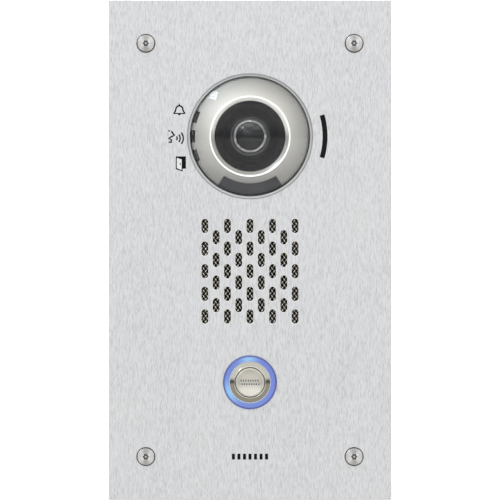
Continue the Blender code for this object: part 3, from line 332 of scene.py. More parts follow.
def flat(name, loops, yFront, yBack):
    # a filled outline in X and Z, in mm
    loops = [[(x * mm, z * mm, 0) for x, z in loop] for loop in loops]
    piece = curveMesh(name, loops, True, dimensions="2D", fill_mode="BOTH", extrude=(yBack - yFront) / 2 * mm)
    weld(piece)
    return moved(piece, (0, (yFront + yBack) / 2 * mm, 0), (90, 0, 0))


def wire(name, points, radius, sides=4):
    # a round wire through points in metres
    piece = curveMesh(name, [points], False, dimensions="3D", bevel_depth=radius * mm,
                      bevel_resolution=sides, use_fill_caps=True)
    weld(piece, outward=False)
    return piece


def place(piece, body, slot, material, *nodes):
    piece.data.materials.clear()
    piece.data.materials.append(material)
    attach(piece, body)
    if nodes:
        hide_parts(*nodes)
    return piece


def revolve(name, rings, centre, steps, angle, *where):
    # a turned piece on the plate's middle line, smoothed and placed
    return place(smooth(turned(name, rings, 0, centre, steps), angle), *where)


# ---- node groups


def newGroup(name, numbers, results):
    # takes a vector and named numbers, and gives out named numbers
    group = bpy.data.node_groups.new(name, "ShaderNodeTree")
    group.interface.new_socket("Vector", in_out="INPUT", socket_type="NodeSocketVector")
    for label, value in numbers.items():
        socket = group.interface.new_socket(label, in_out="INPUT", socket_type="NodeSocketFloat")
        socket.default_value = value
    for label in results:
        group.interface.new_socket(label, in_out="OUTPUT", socket_type="NodeSocketFloat")
    source, target = group.nodes.new("NodeGroupInput"), group.nodes.new("NodeGroupOutput")
    return group, source.outputs, target.inputs


def send(tree, sockets, **values):
    for key, value in values.items():
        tree.links.new(value, sockets[key])


def mathNode(tree, operation, first, second=None, clamp=False):
    node = tree.nodes.new("ShaderNodeMath")
    node.operation = operation
    node.use_clamp = clamp
    for socket, value in zip(node.inputs, (first, second)):
        if value is None:
            continue
        if isinstance(value, (int, float)):
            socket.default_value = value
        else:
            tree.links.new(value, socket)
    return node.outputs[0]


def rangeNode(tree, value, low, high, toLow=0.0, toHigh=1.0):
    node = tree.nodes.new("ShaderNodeMapRange")
    tree.links.new(value, node.inputs["Value"])
    for key, number in (("From Min", low), ("From Max", high), ("To Min", toLow), ("To Max", toHigh)):
        node.inputs[key].default_value = number
    return node.outputs["Result"]


def splitAxes(tree, vector):
    node = tree.nodes.new("ShaderNodeSeparateXYZ")
    tree.links.new(vector, node.inputs[0])
    return node.outputs


def squares(tree, axes):
    return [mathNode(tree, "MULTIPLY", axes[key], axes[key]) for key in ("X", "Z")]


def axisDistance(tree, vector):
    # how far a point lies from the Y axis
    across, upward = squares(tree, splitAxes(tree, vector))
    return mathNode(tree, "SQRT", mathNode(tree, "ADD", across, upward))


def stretched(tree, vector, scale):
    node = tree.nodes.new("ShaderNodeMapping")
    tree.links.new(vector, node.inputs["Vector"])
    node.inputs["Scale"].default_value = scale
    return node.outputs["Vector"]


def noiseNode(tree, vector, scale, detail=2.0, roughness=0.5):
    node = tree.nodes.new("ShaderNodeTexNoise")
    tree.links.new(vector, node.inputs["Vector"])
    if isinstance(scale, (int, float)):
        node.inputs["Scale"].default_value = scale
    else:
        tree.links.new(scale, node.inputs["Scale"])
    node.inputs["Detail"].default_value = detail
    node.inputs["Roughness"].default_value = roughness
    return node.outputs["Fac"]


def makeBrushedGrain():
    # long hairlines along Z: a coarse set, a fine set and slow clouds across the sheet
    group, given, out = newGroup("brushedGrain", {"Hairs": 1.0}, ("Tone", "Height", "Cloud"))
    vector = given["Vector"]
    coarse = noiseNode(group, stretched(group, vector, (1.0, 1.0, 0.11)), 2600, 3, 0.65)
    fine = noiseNode(group, stretched(group, vector, (1.0, 1.0, 0.06)), 5200, 2, 0.6)
    cloud = noiseNode(group, stretched(group, vector, (1.0, 1.0, 0.6)), 26, 3, 0.55)
    both = mathNode(group, "ADD", mathNode(group, "MULTIPLY", coarse, 0.55),
                    mathNode(group, "MULTIPLY", fine, 0.45))
    grown = mathNode(group, "MULTIPLY", mathNode(group, "SUBTRACT", both, 0.5), given["Hairs"])
    send(group, out, Tone=mathNode(group, "ADD", grown, 0.5, clamp=True), Height=both, Cloud=cloud)
    return group


def makeGrit():
    # even grain of moulding, paint or casting, with a sparse speckle
    group, given, out = newGroup("grit", {"Scale": 2500.0}, ("Height", "Speckle", "Cloud"))
    cells = group.nodes.new("ShaderNodeTexVoronoi")
    send(group, cells.inputs, Vector=given["Vector"], Scale=given["Scale"])
    send(group, out, Height=noiseNode(group, given["Vector"], given["Scale"], 2, 0.6),
         Speckle=rangeNode(group, cells.outputs["Distance"], 0.28, 0.06),
         Cloud=noiseNode(group, given["Vector"], 60, 3, 0.55))
    return group


def makeTurnedGrooves():
    # the fine circles a lathe leaves round an axis along Y, with a slow wobble
    group, given, out = newGroup("turnedGrooves", {"Pitch": 4000.0}, ("Height", "Tone"))
    line = group.nodes.new("ShaderNodeTexNoise")
    line.noise_dimensions = "1D"
    line.inputs["Detail"].default_value = 2
    line.inputs["Scale"].default_value = 1
    radius = axisDistance(group, given["Vector"])
    send(group, line.inputs, W=mathNode(group, "MULTIPLY", radius, given["Pitch"]))
    send(group, out, Height=line.outputs["Fac"], Tone=rangeNode(group, line.outputs["Fac"], 0.25, 0.75))
    return group


def makeEdgeWear():
    # bare or polished edges, where the surface turns sharply
    group, given, out = newGroup("edgeWear", {"Start": 0.52}, ("Mask",))
    shape = group.nodes.new("ShaderNodeNewGeometry")
    over = mathNode(group, "SUBTRACT", shape.outputs["Pointiness"], given["Start"])
    sharp = mathNode(group, "MULTIPLY", over, 14.0, clamp=True)
    patchy = rangeNode(group, noiseNode(group, given["Vector"], 420, 3, 0.6), 0.35, 0.65)
    send(group, out, Mask=mathNode(group, "MULTIPLY", sharp, patchy))
    return group


def makeDust():
    # thin dust and dried spots
    group, given, out = newGroup("dust", {"Amount": 0.1}, ("Mask",))
    patches = rangeNode(group, noiseNode(group, given["Vector"], 45, 4, 0.6), 0.45, 0.8)
    specks = rangeNode(group, noiseNode(group, given["Vector"], 1400, 2, 0.5), 0.55, 0.75)
    both = mathNode(group, "MULTIPLY", patches, specks)
    send(group, out, Mask=mathNode(group, "MULTIPLY", both, given["Amount"], clamp=True))
    return group


brushedGrain, grit, turnedGrooves, edgeWear, dust = (
    makeBrushedGrain(), makeGrit(), makeTurnedGrooves(), makeEdgeWear(), makeDust())
print("node groups ready")

# ---- materials


class Finish:
    # one material: a Principled shader, object coordinates, and helpers that add to it
    def __init__(self, name, colour, roughness, metallic=0.0, **sockets):
        self.material = bpy.data.materials.new(name)
        self.material.use_nodes = True
        self.tree = self.material.node_tree
        self.shader = self.tree.nodes["Principled BSDF"]
        self.flatColour, self.colour = (*colour, 1), None
        values = {"Metallic": metallic, "Roughness": roughness, "Base Color": self.flatColour}
        values.update({key.replace("_", " "): value for key, value in sockets.items()})
        for key, value in values.items():
            self.shader.inputs[key].default_value = value
        self.coordinates = self.tree.nodes.new("ShaderNodeTexCoord").outputs["Object"]

    def centred(self, x, y, z):
        node = self.tree.nodes.new("ShaderNodeMapping")
        self.tree.links.new(self.coordinates, node.inputs["Vector"])
        node.inputs["Location"].default_value = (-x, -y, -z)
        self.coordinates = node.outputs["Vector"]
        return self

    def facing(self):
        # how squarely the surface faces along Y
        texture = self.tree.nodes.new("ShaderNodeTexCoord")
        return splitAxes(self.tree, texture.outputs["Normal"])["Y"]

    def axes(self):
        return splitAxes(self.tree, self.coordinates)

    def radius(self):
        return axisDistance(self.tree, self.coordinates)

    def span(self, value, low, high):
        return rangeNode(self.tree, value, low, high)

    def use(self, group, **values):
        node = self.tree.nodes.new("ShaderNodeGroup")
        node.node_tree = group
        self.tree.links.new(self.coordinates, node.inputs["Vector"])
        for key, value in values.items():
            node.inputs[key].default_value = value
        return node.outputs

    def tint(self, mask, colour, low=0.0, high=1.0):
        # mixes a colour over what is there so far, by a mask
        mix = self.tree.nodes.new("ShaderNodeMix")
        mix.data_type = "RGBA"
        self.tree.links.new(rangeNode(self.tree, mask, 0, 1, low, high), mix.inputs["Factor"])
        mix.inputs["A"].default_value = self.flatColour
        mix.inputs["B"].default_value = (*colour, 1)
        if self.colour is not None:
            self.tree.links.new(self.colour, mix.inputs["A"])
        self.colour = [socket for socket in mix.outputs if socket.type == "RGBA"][0]
        self.tree.links.new(self.colour, self.shader.inputs["Base Color"])

    def rough(self, mask, low, high):
        self.tree.links.new(rangeNode(self.tree, mask, 0, 1, low, high), self.shader.inputs["Roughness"])

    def bump(self, height, strength, depth):
        node = self.tree.nodes.new("ShaderNodeBump")
        node.inputs["Strength"].default_value = strength
        node.inputs["Distance"].default_value = depth * mm
        self.tree.links.new(height, node.inputs["Height"])
        if self.shader.inputs["Normal"].is_linked:
            before = self.shader.inputs["Normal"].links[0].from_socket
            self.tree.links.new(before, node.inputs["Normal"])
        self.tree.links.new(node.outputs["Normal"], self.shader.inputs["Normal"])


def makeBrushedSteel():
    finish = Finish("brushedSteel", (0.72, 0.73, 0.768), 0.34, 1.0)
    grain = finish.use(brushedGrain, Hairs=4.0)
    finish.tint(grain["Tone"], (0.46, 0.465, 0.485), 1.1, -0.5)
    finish.tint(grain["Cloud"], (0.715, 0.715, 0.712), 0.0, 0.5)
    lean = mathNode(finish.tree, "ABSOLUTE", finish.facing())
    finish.tint(finish.span(lean, 0.998, 0.985), (0.97, 0.97, 0.96))  # painted highlight: a pale halo where the surface tilts, round the slots and holes
    finish.rough(grain["Cloud"], 0.28, 0.42)
    finish.bump(grain["Height"], 0.35, 0.02)
    return finish.material


def makeTurnedSteel(name, x, z, colour=(0.62, 0.61, 0.60), pitch=5000.0, roughness=0.24, sectors=0.0):
    finish = Finish(name, colour, roughness, 1.0).centred(x, 0, z)
    grooves = finish.use(turnedGrooves, Pitch=pitch)
    wear = finish.use(edgeWear)
    finish.tint(grooves["Tone"], tuple(c * 0.82 for c in colour), 0.0, 0.7)
    finish.tint(wear["Mask"], (0.85, 0.85, 0.84), 0.0, 0.7)
    if sectors:  # painted reflection: darker fans above and below the centre, as a turned face would mirror darker surroundings there
        tree, axes = finish.tree, finish.axes()
        across, upward = squares(tree, axes)
        share = mathNode(tree, "DIVIDE", upward, mathNode(tree, "ADD", across, upward))
        finish.tint(finish.span(share, 0.45, 1.0), tuple(c * 0.42 for c in colour), 0.0, sectors)
        # painted shade deep down in the Torx recess
        sunk = finish.span(axes["Y"], (plateFront - 2.25) * mm, (plateFront - 1.6) * mm)
        near = finish.span(finish.radius(), 1.95 * mm, 1.85 * mm)
        finish.tint(mathNode(tree, "MULTIPLY", sunk, near), (0.05, 0.05, 0.05), 0.0, 0.9)
    finish.bump(grooves["Height"], 0.5, 0.03)
    return finish.material


def makeWovenWire():
    # bright on the crests of the weave; painted shade makes it darker and browner down in its hollows
    finish = Finish("wovenWire", (0.97, 0.96, 0.93), 0.26, 1.0)
    crest = middle("speaker_mesh").y - (mesh["lift"] + mesh["wire"]) * mm
    finish.tint(finish.span(finish.axes()["Y"], crest + 0.06 * mm, crest + 0.24 * mm), (0.20, 0.185, 0.155))
    finish.rough(finish.use(grit, Scale=5000.0)["Height"], 0.2, 0.36)
    return finish.material


def makeZincSheet():
    finish = Finish("zincSheet", (0.52, 0.54, 0.55), 0.42, 1.0)
    spangle = finish.use(grit, Scale=160.0)
    dusty = finish.use(dust, Amount=0.7)
    finish.tint(spangle["Speckle"], (0.66, 0.68, 0.70), 0.0, 0.6)
    finish.tint(spangle["Cloud"], (0.38, 0.40, 0.41), 0.0, 0.6)
    finish.tint(dusty["Mask"], (0.45, 0.43, 0.40), 0.0, 0.6)
    finish.rough(spangle["Cloud"], 0.3, 0.55)
    finish.bump(spangle["Height"], 0.15, 0.05)
    return finish.material


def makeMoulded(name, colour, roughness, scale=2600.0, lighter=1.6, dustAmount=0.25, shine=0.5):
    finish = Finish(name, colour, roughness, Specular_IOR_Level=shine)
    grain = finish.use(grit, Scale=scale)
    wear = finish.use(edgeWear)
    dusty = finish.use(dust, Amount=dustAmount)
    pale = tuple(min(1.0, c * lighter + 0.002) for c in colour)
    finish.tint(grain["Cloud"], pale, 0.0, 0.5)
    finish.tint(wear["Mask"], pale, 0.0, 0.6)
    finish.tint(dusty["Mask"], (0.35, 0.34, 0.32), 0.0, 0.5)
    finish.rough(grain["Height"], roughness - 0.1, roughness + 0.12)
    finish.bump(grain["Height"], 0.25, 0.03)
    return finish.material


def makeSilverPaint():
    # flaky silver paint; painted shade darkens it towards its rim, its foot and its right side
    finish = Finish("silverPaint", (0.71, 0.69, 0.645), 0.6, 0.92).centred(0, 0, cameraZ)
    flake = finish.use(grit, Scale=5200.0)
    finish.tint(flake["Speckle"], (0.82, 0.81, 0.78), 0.0, 0.35)
    finish.tint(flake["Cloud"], (0.62, 0.61, 0.60), 0.0, 0.35)
    axes = finish.axes()
    # painted shade: darker towards the outer rim, towards the bottom and towards the right
    finish.tint(finish.span(finish.radius(), 23.5 * mm, 32.5 * mm), (0.30, 0.295, 0.28), 0.0, 0.74)
    finish.tint(finish.span(axes["Z"], 17 * mm, -27 * mm), (0.18, 0.177, 0.17), 0.0, 0.92)
    finish.tint(finish.span(axes["X"], 2 * mm, 28 * mm), (0.25, 0.247, 0.238), 0.0, 0.22)
    finish.rough(flake["Height"], 0.54, 0.66)
    finish.bump(flake["Height"], 0.12, 0.01)
    return finish.material


def makeLipMetal():
    # polished lip; inside it, the band that slopes into the throat is darkened as painted shade
    finish = Finish("polishedLip", (0.92, 0.915, 0.90), 0.3, 1.0).centred(0, 0, cameraZ)
    grooves = finish.use(turnedGrooves, Pitch=2600.0)
    finish.tint(finish.span(finish.radius(), 21.95 * mm, 21.75 * mm), (0.52, 0.51, 0.49))
    finish.rough(grooves["Tone"], 0.26, 0.36)
    return finish.material


def makeClearDome():
    finish = Finish("clearDome", (0.985, 0.99, 0.995), 0.02, Transmission_Weight=1.0, IOR=1.25)
    haze = finish.use(dust, Amount=0.3)
    finish.rough(haze["Mask"], 0.015, 0.12)
    tree = finish.tree
    path = tree.nodes.new("ShaderNodeLightPath")
    clear = tree.nodes.new("ShaderNodeBsdfTransparent")
    clear.inputs["Color"].default_value = (0.94, 0.95, 0.96, 1)
    mix = tree.nodes.new("ShaderNodeMixShader")
    tree.links.new(path.outputs["Is Shadow Ray"], mix.inputs["Fac"])
    tree.links.new(finish.shader.outputs["BSDF"], mix.inputs[1])
    tree.links.new(clear.outputs["BSDF"], mix.inputs[2])
    tree.links.new(mix.outputs["Shader"], tree.nodes["Material Output"].inputs["Surface"])
    return finish.material


def makeSmoked(name, colour, ribs, roughness):
    finish = Finish(name, colour, roughness, Specular_IOR_Level=0.06)
    if ribs:
        lines = finish.tree.nodes.new("ShaderNodeTexWave")
        lines.bands_direction = "Z"
        lines.inputs["Scale"].default_value = ribs
        lines.inputs["Distortion"].default_value = 0.0
        finish.tree.links.new(finish.coordinates, lines.inputs["Vector"])
        finish.tint(lines.outputs["Fac"], tuple(c * 1.9 for c in colour), 0.0, 0.9)
        finish.bump(lines.outputs["Fac"], 0.3, 0.15)
    grain = finish.use(grit, Scale=3000.0)
    finish.rough(grain["Height"], roughness - 0.06, roughness + 0.08)
    finish.bump(grain["Height"], 0.08, 0.02)
    return finish.material


def makeLensGlass():
    # dark coated glass with a painted reflection, pale and streaked, in its upper part
    finish = Finish("coatedLens", (0.0025, 0.0025, 0.0035), 0.05, IOR=1.25).centred(0, 0, cameraZ)
    upperReflection = finish.span(finish.axes()["Z"], 0.0, 7 * mm)
    streaks = noiseNode(finish.tree, stretched(finish.tree, finish.coordinates, (0.25, 1, 1)), 700, 2, 0.5)
    finish.tint(mathNode(finish.tree, "MULTIPLY", upperReflection, finish.span(streaks, 0.3, 0.7)), (0.13, 0.13, 0.135))
    finish.rough(finish.use(grit, Scale=900.0)["Cloud"], 0.03, 0.10)
    return finish.material


def makeBlueGlow(x, z, inner, outer):
    # milky plastic lit from behind, so it glows; painted highlights at the top and lower left, pale inside,
    # darker at the outer edge
    finish = Finish("blueLightRing", (0.095, 0.155, 0.42), 0.2, Coat_Weight=0.4, Coat_Roughness=0.1)
    finish.centred(x, 0, z)
    tree, axes, radius = finish.tree, finish.axes(), finish.radius()
    turn = mathNode(tree, "ARCTAN2", axes["Z"], axes["X"])
    cloud = finish.use(grit, Scale=1500.0)
    finish.tint(cloud["Cloud"], (0.115, 0.145, 0.44), 0.0, 0.5)
    # painted highlights at the top and the lower left, and a darker purple patch at the upper right
    for degrees, colour, sharp in ((92, (0.20, 0.40, 0.62), 16.0), (206, (0.19, 0.37, 0.58), 9.0),
                                   (28, (0.10, 0.14, 0.42), 3.0)):
        wave = mathNode(tree, "COSINE", mathNode(tree, "SUBTRACT", turn, math.radians(degrees)))
        spot = mathNode(tree, "POWER", mathNode(tree, "MAXIMUM", wave, 0.0), sharp)
        finish.tint(spot, colour, 0.0, 0.9)
    finish.tint(finish.span(radius, (inner + 0.5) * mm, inner * mm), (0.42, 0.50, 0.80), 0.0, 0.8)
    finish.tint(finish.span(radius, (outer - 1.5) * mm, (outer - 0.35) * mm), (0.03, 0.045, 0.22), 0.0, 0.9)
    tree.links.new(finish.colour, finish.shader.inputs["Emission Color"])
    finish.shader.inputs["Emission Strength"].default_value = 0.16
    finish.rough(cloud["Height"], 0.14, 0.3)
    return finish.material


def makeCircuit():
    finish = Finish("solderMask", (0.015, 0.13, 0.06), 0.32)
    traces = finish.tree.nodes.new("ShaderNodeTexBrick")
    finish.tree.links.new(finish.coordinates, traces.inputs["Vector"])
    traces.inputs["Scale"].default_value = 90.0
    traces.inputs["Mortar Size"].default_value = 0.03
    grain = finish.use(grit, Scale=2000.0)
    finish.tint(traces.outputs["Fac"], (0.05, 0.26, 0.12), 0.0, 0.7)
    finish.tint(grain["Cloud"], (0.01, 0.09, 0.05), 0.0, 0.5)
    finish.bump(traces.outputs["Fac"], 0.2, 0.05)
    return finish.material


steel = makeBrushedSteel()
zinc = makeZincSheet()
silver = makeSilverPaint()
lipMetal = makeLipMetal()
clear = makeClearDome()
smoked = makeSmoked("smokedWindow", (0.036, 0.036, 0.037), 0, 0.6)
smokedRibbed = makeSmoked("smokedRibbedWindow", (0.030, 0.030, 0.032), 560, 0.4)
lensGlass = makeLensGlass()
blackPlastic = makeMoulded("blackPlastic", (0.009, 0.009, 0.010), 0.5)
blackSatin = makeMoulded("blackSatin", (0.004, 0.004, 0.005), 0.30, 3400.0, 1.4, 0.03, 0.4)
funnelBlack = makeMoulded("funnelBlack", (0.004, 0.004, 0.005), 0.40, 2600.0, 1.4, 0.03, 0.3)
frostedEdge = makeMoulded("frostedEdge", (0.34, 0.35, 0.36), 0.3, 3000.0, 1.1, 0.1)
collarGrey = makeMoulded("collarGrey", (0.035, 0.035, 0.037), 0.4, 3400.0, 1.4, 0.03, 0.5)
washerBlack = makeMoulded("washerBlack", (0.030, 0.030, 0.030), 0.6, 2600.0, 1.4, 0.1, 0.3)
blackRubber = makeMoulded("blackRubber", (0.006, 0.006, 0.006), 0.72, 1800.0, 1.5, 0.1, 0.2)
basketBlack = makeMoulded("basketBlack", (0.010, 0.010, 0.010), 0.5, 1800.0, 1.5, 0.1, 0.2)
blackInk = makeMoulded("blackInlay", (0.002, 0.002, 0.002), 0.55, 4000.0, 1.3, 0.0, 0.08)
greyInk = makeMoulded("steelInlay", (0.50, 0.51, 0.52), 0.5, 4000.0, 1.1, 0.1)
paper = makeMoulded("conePaper", (0.012, 0.012, 0.012), 0.85, 1500.0, 1.5, 0.1, 0.2)
greenPlastic = makeMoulded("greenTerminal", (0.03, 0.24, 0.10), 0.45, 2200.0)
leadSleeve = makeMoulded("leadSleeve", (0.03, 0.03, 0.03), 0.55, 1500.0)
circuit = makeCircuit()
lensMetal = makeTurnedSteel("lensMetal", 0, cameraZ, (0.125, 0.125, 0.127), 3000.0, 0.36)
buttonMetal = makeTurnedSteel("buttonMetal", 0, buttonZ, (0.66, 0.645, 0.60), 5200.0, 0.14)
capMetal = makeTurnedSteel("capMetal", 0, buttonZ, (0.60, 0.58, 0.535), 2600.0, 0.3)
darkSteel = makeMoulded("darkSteel", (0.10, 0.10, 0.11), 0.4, 900.0)
wireSteel = makeWovenWire()
springWire = makeTurnedSteel("springWire", 0, buttonZ, (0.52, 0.52, 0.52), 900.0, 0.25)
blueGlow = makeBlueGlow(0, buttonZ, 11.6, halfWidth("button_light_ring"))
print("materials ready")

# ---- face plate

plate = dict(edge=0.35, slotWide=3.9, slotLong=8.2, columnPitch=6.37, rowPitch=12.78, columns=9, rows=5,
             flare=0.16, polish=0.3, screwHole=2.9, domeLap=3.0, buttonLap=1.6,
             micMiddle=42.4, micWide=2.8, micHalfTurn=16.5, rebate=0.3)


def slotPlaces():
    for column in range(plate["columns"]):
        rows = plate["rows"] - column % 2
        for row in range(rows):
            yield ((column - (plate["columns"] - 1) / 2) * plate["columnPitch"],
                   (row - (rows - 1) / 2) * plate["rowPitch"])


def flaredCutter(name, radius, x, z, steps=96, stretch=0.0):
    # goes right through the sheet and widens a little at both faces; stretch makes it a slot
    flare = plate["flare"]
    rings = [(radius + 2 * plate["polish"], plateFront - 0.26 * plate["polish"]),
             (radius, plateFront + 0.26 * plate["polish"]),
             (radius, plateBack - flare - plate["rebate"]), (radius + 2 * flare, plateBack + flare)]
    cutter = turned(name, [(0, rings[0][1])] + rings + [(0, rings[-1][1])], x, z, steps)
    if stretch:
        for vertex in cutter.data.vertices:
            if abs(vertex.co.z - z) > radius * mm * 0.02:
                vertex.co.z += math.copysign(stretch * mm, vertex.co.z - z)
    return cutter


def makeFacePlate():
    low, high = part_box("face_plate")
    sheet = block("facePlate", (low.x / mm, plateFront, low.z / mm), (high.x / mm, plateBack, high.z / mm))
    rounded(sheet, plate["edge"], 3)
    cutters = []
    rise = (plate["slotLong"] - plate["slotWide"]) / 2
    first = flaredCutter("slotCutter", plate["slotWide"] / 2, 0, 0, 31, rise)
    for x, z in slotPlaces():
        cutters.append(copyOf(first, "slotCutter", (x * mm, 0, speakerZ + z * mm)))
    bpy.data.objects.remove(first)
    for i in range(1, 5):
        at = middle(f"plate_screw_{i}")
        cutters.append(flaredCutter("screwCutter", plate["screwHole"], at.x, at.z, 48))
    domeHole = halfWidth("camera_dome") - plate["domeLap"]
    cutters.append(flaredCutter("domeCutter", domeHole, 0, cameraZ, 160))
    buttonHole = halfWidth("button_light_ring") - plate["buttonLap"]
    cutters.append(flaredCutter("buttonCutter", buttonHole, 0, buttonZ, 96))
    half = plate["micWide"] / 2
    band = bandPoints(plate["micMiddle"] - half, plate["micMiddle"] + half, -plate["micHalfTurn"],
                      plate["micHalfTurn"], 24, 0, cameraZ / mm)
    cutters.append(flat("micCutter", [band], plateFront - 1, plateBack + 1))
    cutWith(sheet, joined(cutters, "openings"))
    gasketLow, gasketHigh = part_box("plate_gasket")
    pocket = block("pocket", (gasketLow.x / mm - 1, -plate["rebate"], gasketLow.z / mm - 1),
                   (gasketHigh.x / mm + 1, 1, gasketHigh.z / mm + 1))
    cutWith(sheet, pocket)
    trueFlats(sheet)
    place(sheet, "panel", "face_plate", steel, "face_plate")


def makeStuds():
    # weld studs for the dome clamp and the speaker, and the pillars that carry the board
    inside = -plate["rebate"]
    long = front("main_board") - 0.3
    nuts = [f"clamp_nut_{i}" for i in range(1, 5)] + [f"retainer_nut_{i}" for i in (1, 2)]
    studs = []
    for node in nuts:
        at, end = middle(node), back(node) + 0.8
        rings = [(0, inside), (1.8, inside), (1.6, inside + 0.5), (1.5, inside + 0.9)]
        y = inside + 1.6
        while y < end - 0.6:  # thread crests and roots
            rings += [(1.5, y), (1.32, y + 0.25)]
            y += 0.5
        rings += [(1.3, end - 0.3), (1.0, end), (0, end)]
        studs.append(turned("stud", rings, at.x, at.z, 24))
    for i in range(1, 5):
        at = middle(f"board_screw_{i}")
        rings = [(0, inside), (4.2, inside), (3.2, inside + 0.9), (3.0, inside + 1.4), (3.0, long - 0.4),
                 (2.7, long), (1.8, long), (1.8, long - 8), (0, long - 9)]
        studs.append(turned("pillar", rings, at.x, at.z, 32))
    piece = smooth(joined(studs, "weldStuds"))
    place(piece, "panel", "face_plate", zinc, "face_plate")


makeFacePlate()
makeStuds()
print("face plate done")

# ---- tamper-proof screws

screw = dict(head=4.9, high=2.4, crown=0.22, edge=0.45, shank=2.5, recess=1.55, lobe=0.26, deep=1.6, pin=0.55,
             washer=5.35)


def makeScrews():
    seat = plateFront - 0.3
    top = seat - screw["high"]
    flatEdge = screw["head"] - screw["edge"]
    dome = [(flatEdge * t, top + screw["crown"] * t ** 2) for t in spread(0, 1, 4)]
    dome += arc(flatEdge, top + screw["crown"] + screw["edge"], screw["edge"], 75, 0, 5)
    shank = [(screw["head"], seat - 0.15), (screw["head"] - 0.15, seat), (screw["shank"], seat)]
    y = seat + 1.0
    while y < seat + 13.2:
        shank += [(screw["shank"], y), (screw["shank"] - 0.3, y + 0.4)]
        y += 0.8
    shank += [(screw["shank"] - 0.5, seat + 14.0), (0, seat + 14.0)]
    for i in range(1, 5):
        at = middle(f"plate_screw_{i}")
        piece = turned(f"plateScrew{i}", dome + shank, at.x, at.z, 72)
        star = []
        for k in range(72):
            turn = math.radians(5 * k)
            reach = screw["recess"] + screw["lobe"] * math.cos(6 * turn)
            star.append((at.x / mm + reach * math.cos(turn), at.z / mm + reach * math.sin(turn)))
        pin = ringPoints(screw["pin"], count=20, x=at.x / mm, z=at.z / mm)
        cutWith(piece, flat("recess", [star, pin], top - 1, top + screw["deep"]))
        smooth(piece, 38)
        finish = makeTurnedSteel(f"screwSteel{i}", at.x, at.z, (0.66, 0.65, 0.655), 4200.0, 0.26, 0.75)
        place(piece, "panel", "screw_steel", finish, f"plate_screw_{i}")
        # a dark washer under each head; it also stands in for the shadow that rings the head
        rings = [(2.7, seat + 0.02), (screw["washer"] - 0.1, seat + 0.02), (screw["washer"], seat + 0.1),
                 (screw["washer"], seat + 0.28), (2.7, seat + 0.28), (2.7, seat + 0.02)]
        washer = smooth(turned(f"screwWasher{i}", rings, at.x, at.z, 64))
        place(washer, "panel", "rubber", washerBlack)


makeScrews()
print("screws done")

# ---- camera window: dome, silver ring, smoked windows

dome = dict(radius=35.2, sphere=70.0, fillet=2.0, step=1.0, wall=1.5, gap=0.3)
ring = dict(wall=1.4, lip=22.0, throat=19.9, deep=4.7, band=1.35, land=0.8)
ringEdge, ringInset = dome["radius"] - dome["wall"] - dome["gap"], dome["wall"] + dome["gap"]
windows = {
    "statusWindowCall": dict(node="status_window_call", deep=2.5, half=6.1, at=160.3),
    "statusWindowTalk": dict(node="status_window_talk", deep=2.5, half=6.1, at=180.0),
    "statusWindowDoor": dict(node="status_window_door", deep=2.5, half=6.1, at=199.7),
    "nightLightWindow": dict(node="night_light_window", deep=7.0, half=33.3, at=270.0),
}


def domeY(radius, inset=0.0):
    shoulderY = plateFront - dome["step"]
    reach = dome["sphere"] - dome["fillet"]
    centre = shoulderY + math.sqrt(reach ** 2 - (dome["radius"] - dome["fillet"]) ** 2)
    return centre - math.sqrt((dome["sphere"] - inset) ** 2 - radius ** 2)


def makeDome():
    shoulder = (dome["radius"] - dome["fillet"]) * dome["sphere"] / (dome["sphere"] - dome["fillet"])
    rings = [(r, domeY(r)) for r in spread(0, shoulder, 20)]
    rise = math.degrees(math.acos(shoulder / dome["sphere"]))
    inR, inY = dome["radius"] - dome["fillet"], plateFront - dome["step"]
    rings += arc(inR, inY, dome["fillet"], rise * 7 / 8, 0, 7)
    flangeFront, flangeBack = back("dome_gasket") + 0.3, back("camera_dome")
    outer, inside = halfWidth("camera_dome"), dome["radius"] - dome["wall"]
    rings += [(dome["radius"], flangeFront), (outer - 0.2, flangeFront), (outer, flangeFront + 0.2),
              (outer, flangeBack - 0.2), (outer - 0.2, flangeBack), (inside, flangeBack)]
    small = dome["fillet"] - dome["wall"]
    rings += arc(inR, inY, small, 0, rise, 4)
    innerEdge = inR + small * math.cos(math.radians(rise))
    rings += [(r, domeY(r, dome["wall"])) for r in spread(innerEdge, 0, 20)[1:]]
    revolve("cameraDome", rings, cameraZ, 160, 30, "panel", "clear_dome", clear, "camera_dome")


def makeDomeRim():
    # the frosted, bonded edge of the dome, seen as a pale line round it
    inR, inY = dome["radius"] - dome["fillet"], plateFront - dome["step"]
    outside, inside = dome["fillet"] + 0.04, dome["fillet"] - 0.3
    rings = arc(inR, inY, outside, 67, 0, 10)
    rings += [(inR + outside, plateFront), (inR + inside, plateFront)]
    rings += arc(inR, inY, inside, 0, 66, 6)
    rings.append(rings[0])
    revolve("domeRim", rings, cameraZ, 160, 40, "panel", "clear_dome", frostedEdge, "camera_dome")


def wedge(deep, half, at, gap):
    lean = math.degrees(gap / 33.0)
    band = bandPoints(ringEdge - deep + gap, ringEdge + 3, at - half + lean, at + half - lean, 40, 0,
                      cameraZ / mm)
    return flat("wedge", [band], -20, back("led_board"))


def makeSilverRing():
    start, inner = ring["lip"] + ring["land"], ringEdge - ring["wall"]
    rings = [(r, domeY(r, ringInset)) for r in spread(start, ringEdge - 0.35, 16)]
    edgeY = domeY(ringEdge, ringInset)
    rings += [(ringEdge - 0.1, edgeY + 0.05), (ringEdge, edgeY + 0.35), (ringEdge, 0.5), (inner, 0.5)]
    rings += [(r, domeY(r, ringInset) + ring["wall"]) for r in spread(inner, start, 16)]
    rings.append(rings[0])
    piece = turned("silverRing", rings, 0, cameraZ, 160)
    for name, values in windows.items():
        cutWith(piece, wedge(values["deep"], values["half"], values["at"], 0.0))
    smooth(piece, 40)
    place(piece, "panel", "silver_ring", silver, "camera_ring")


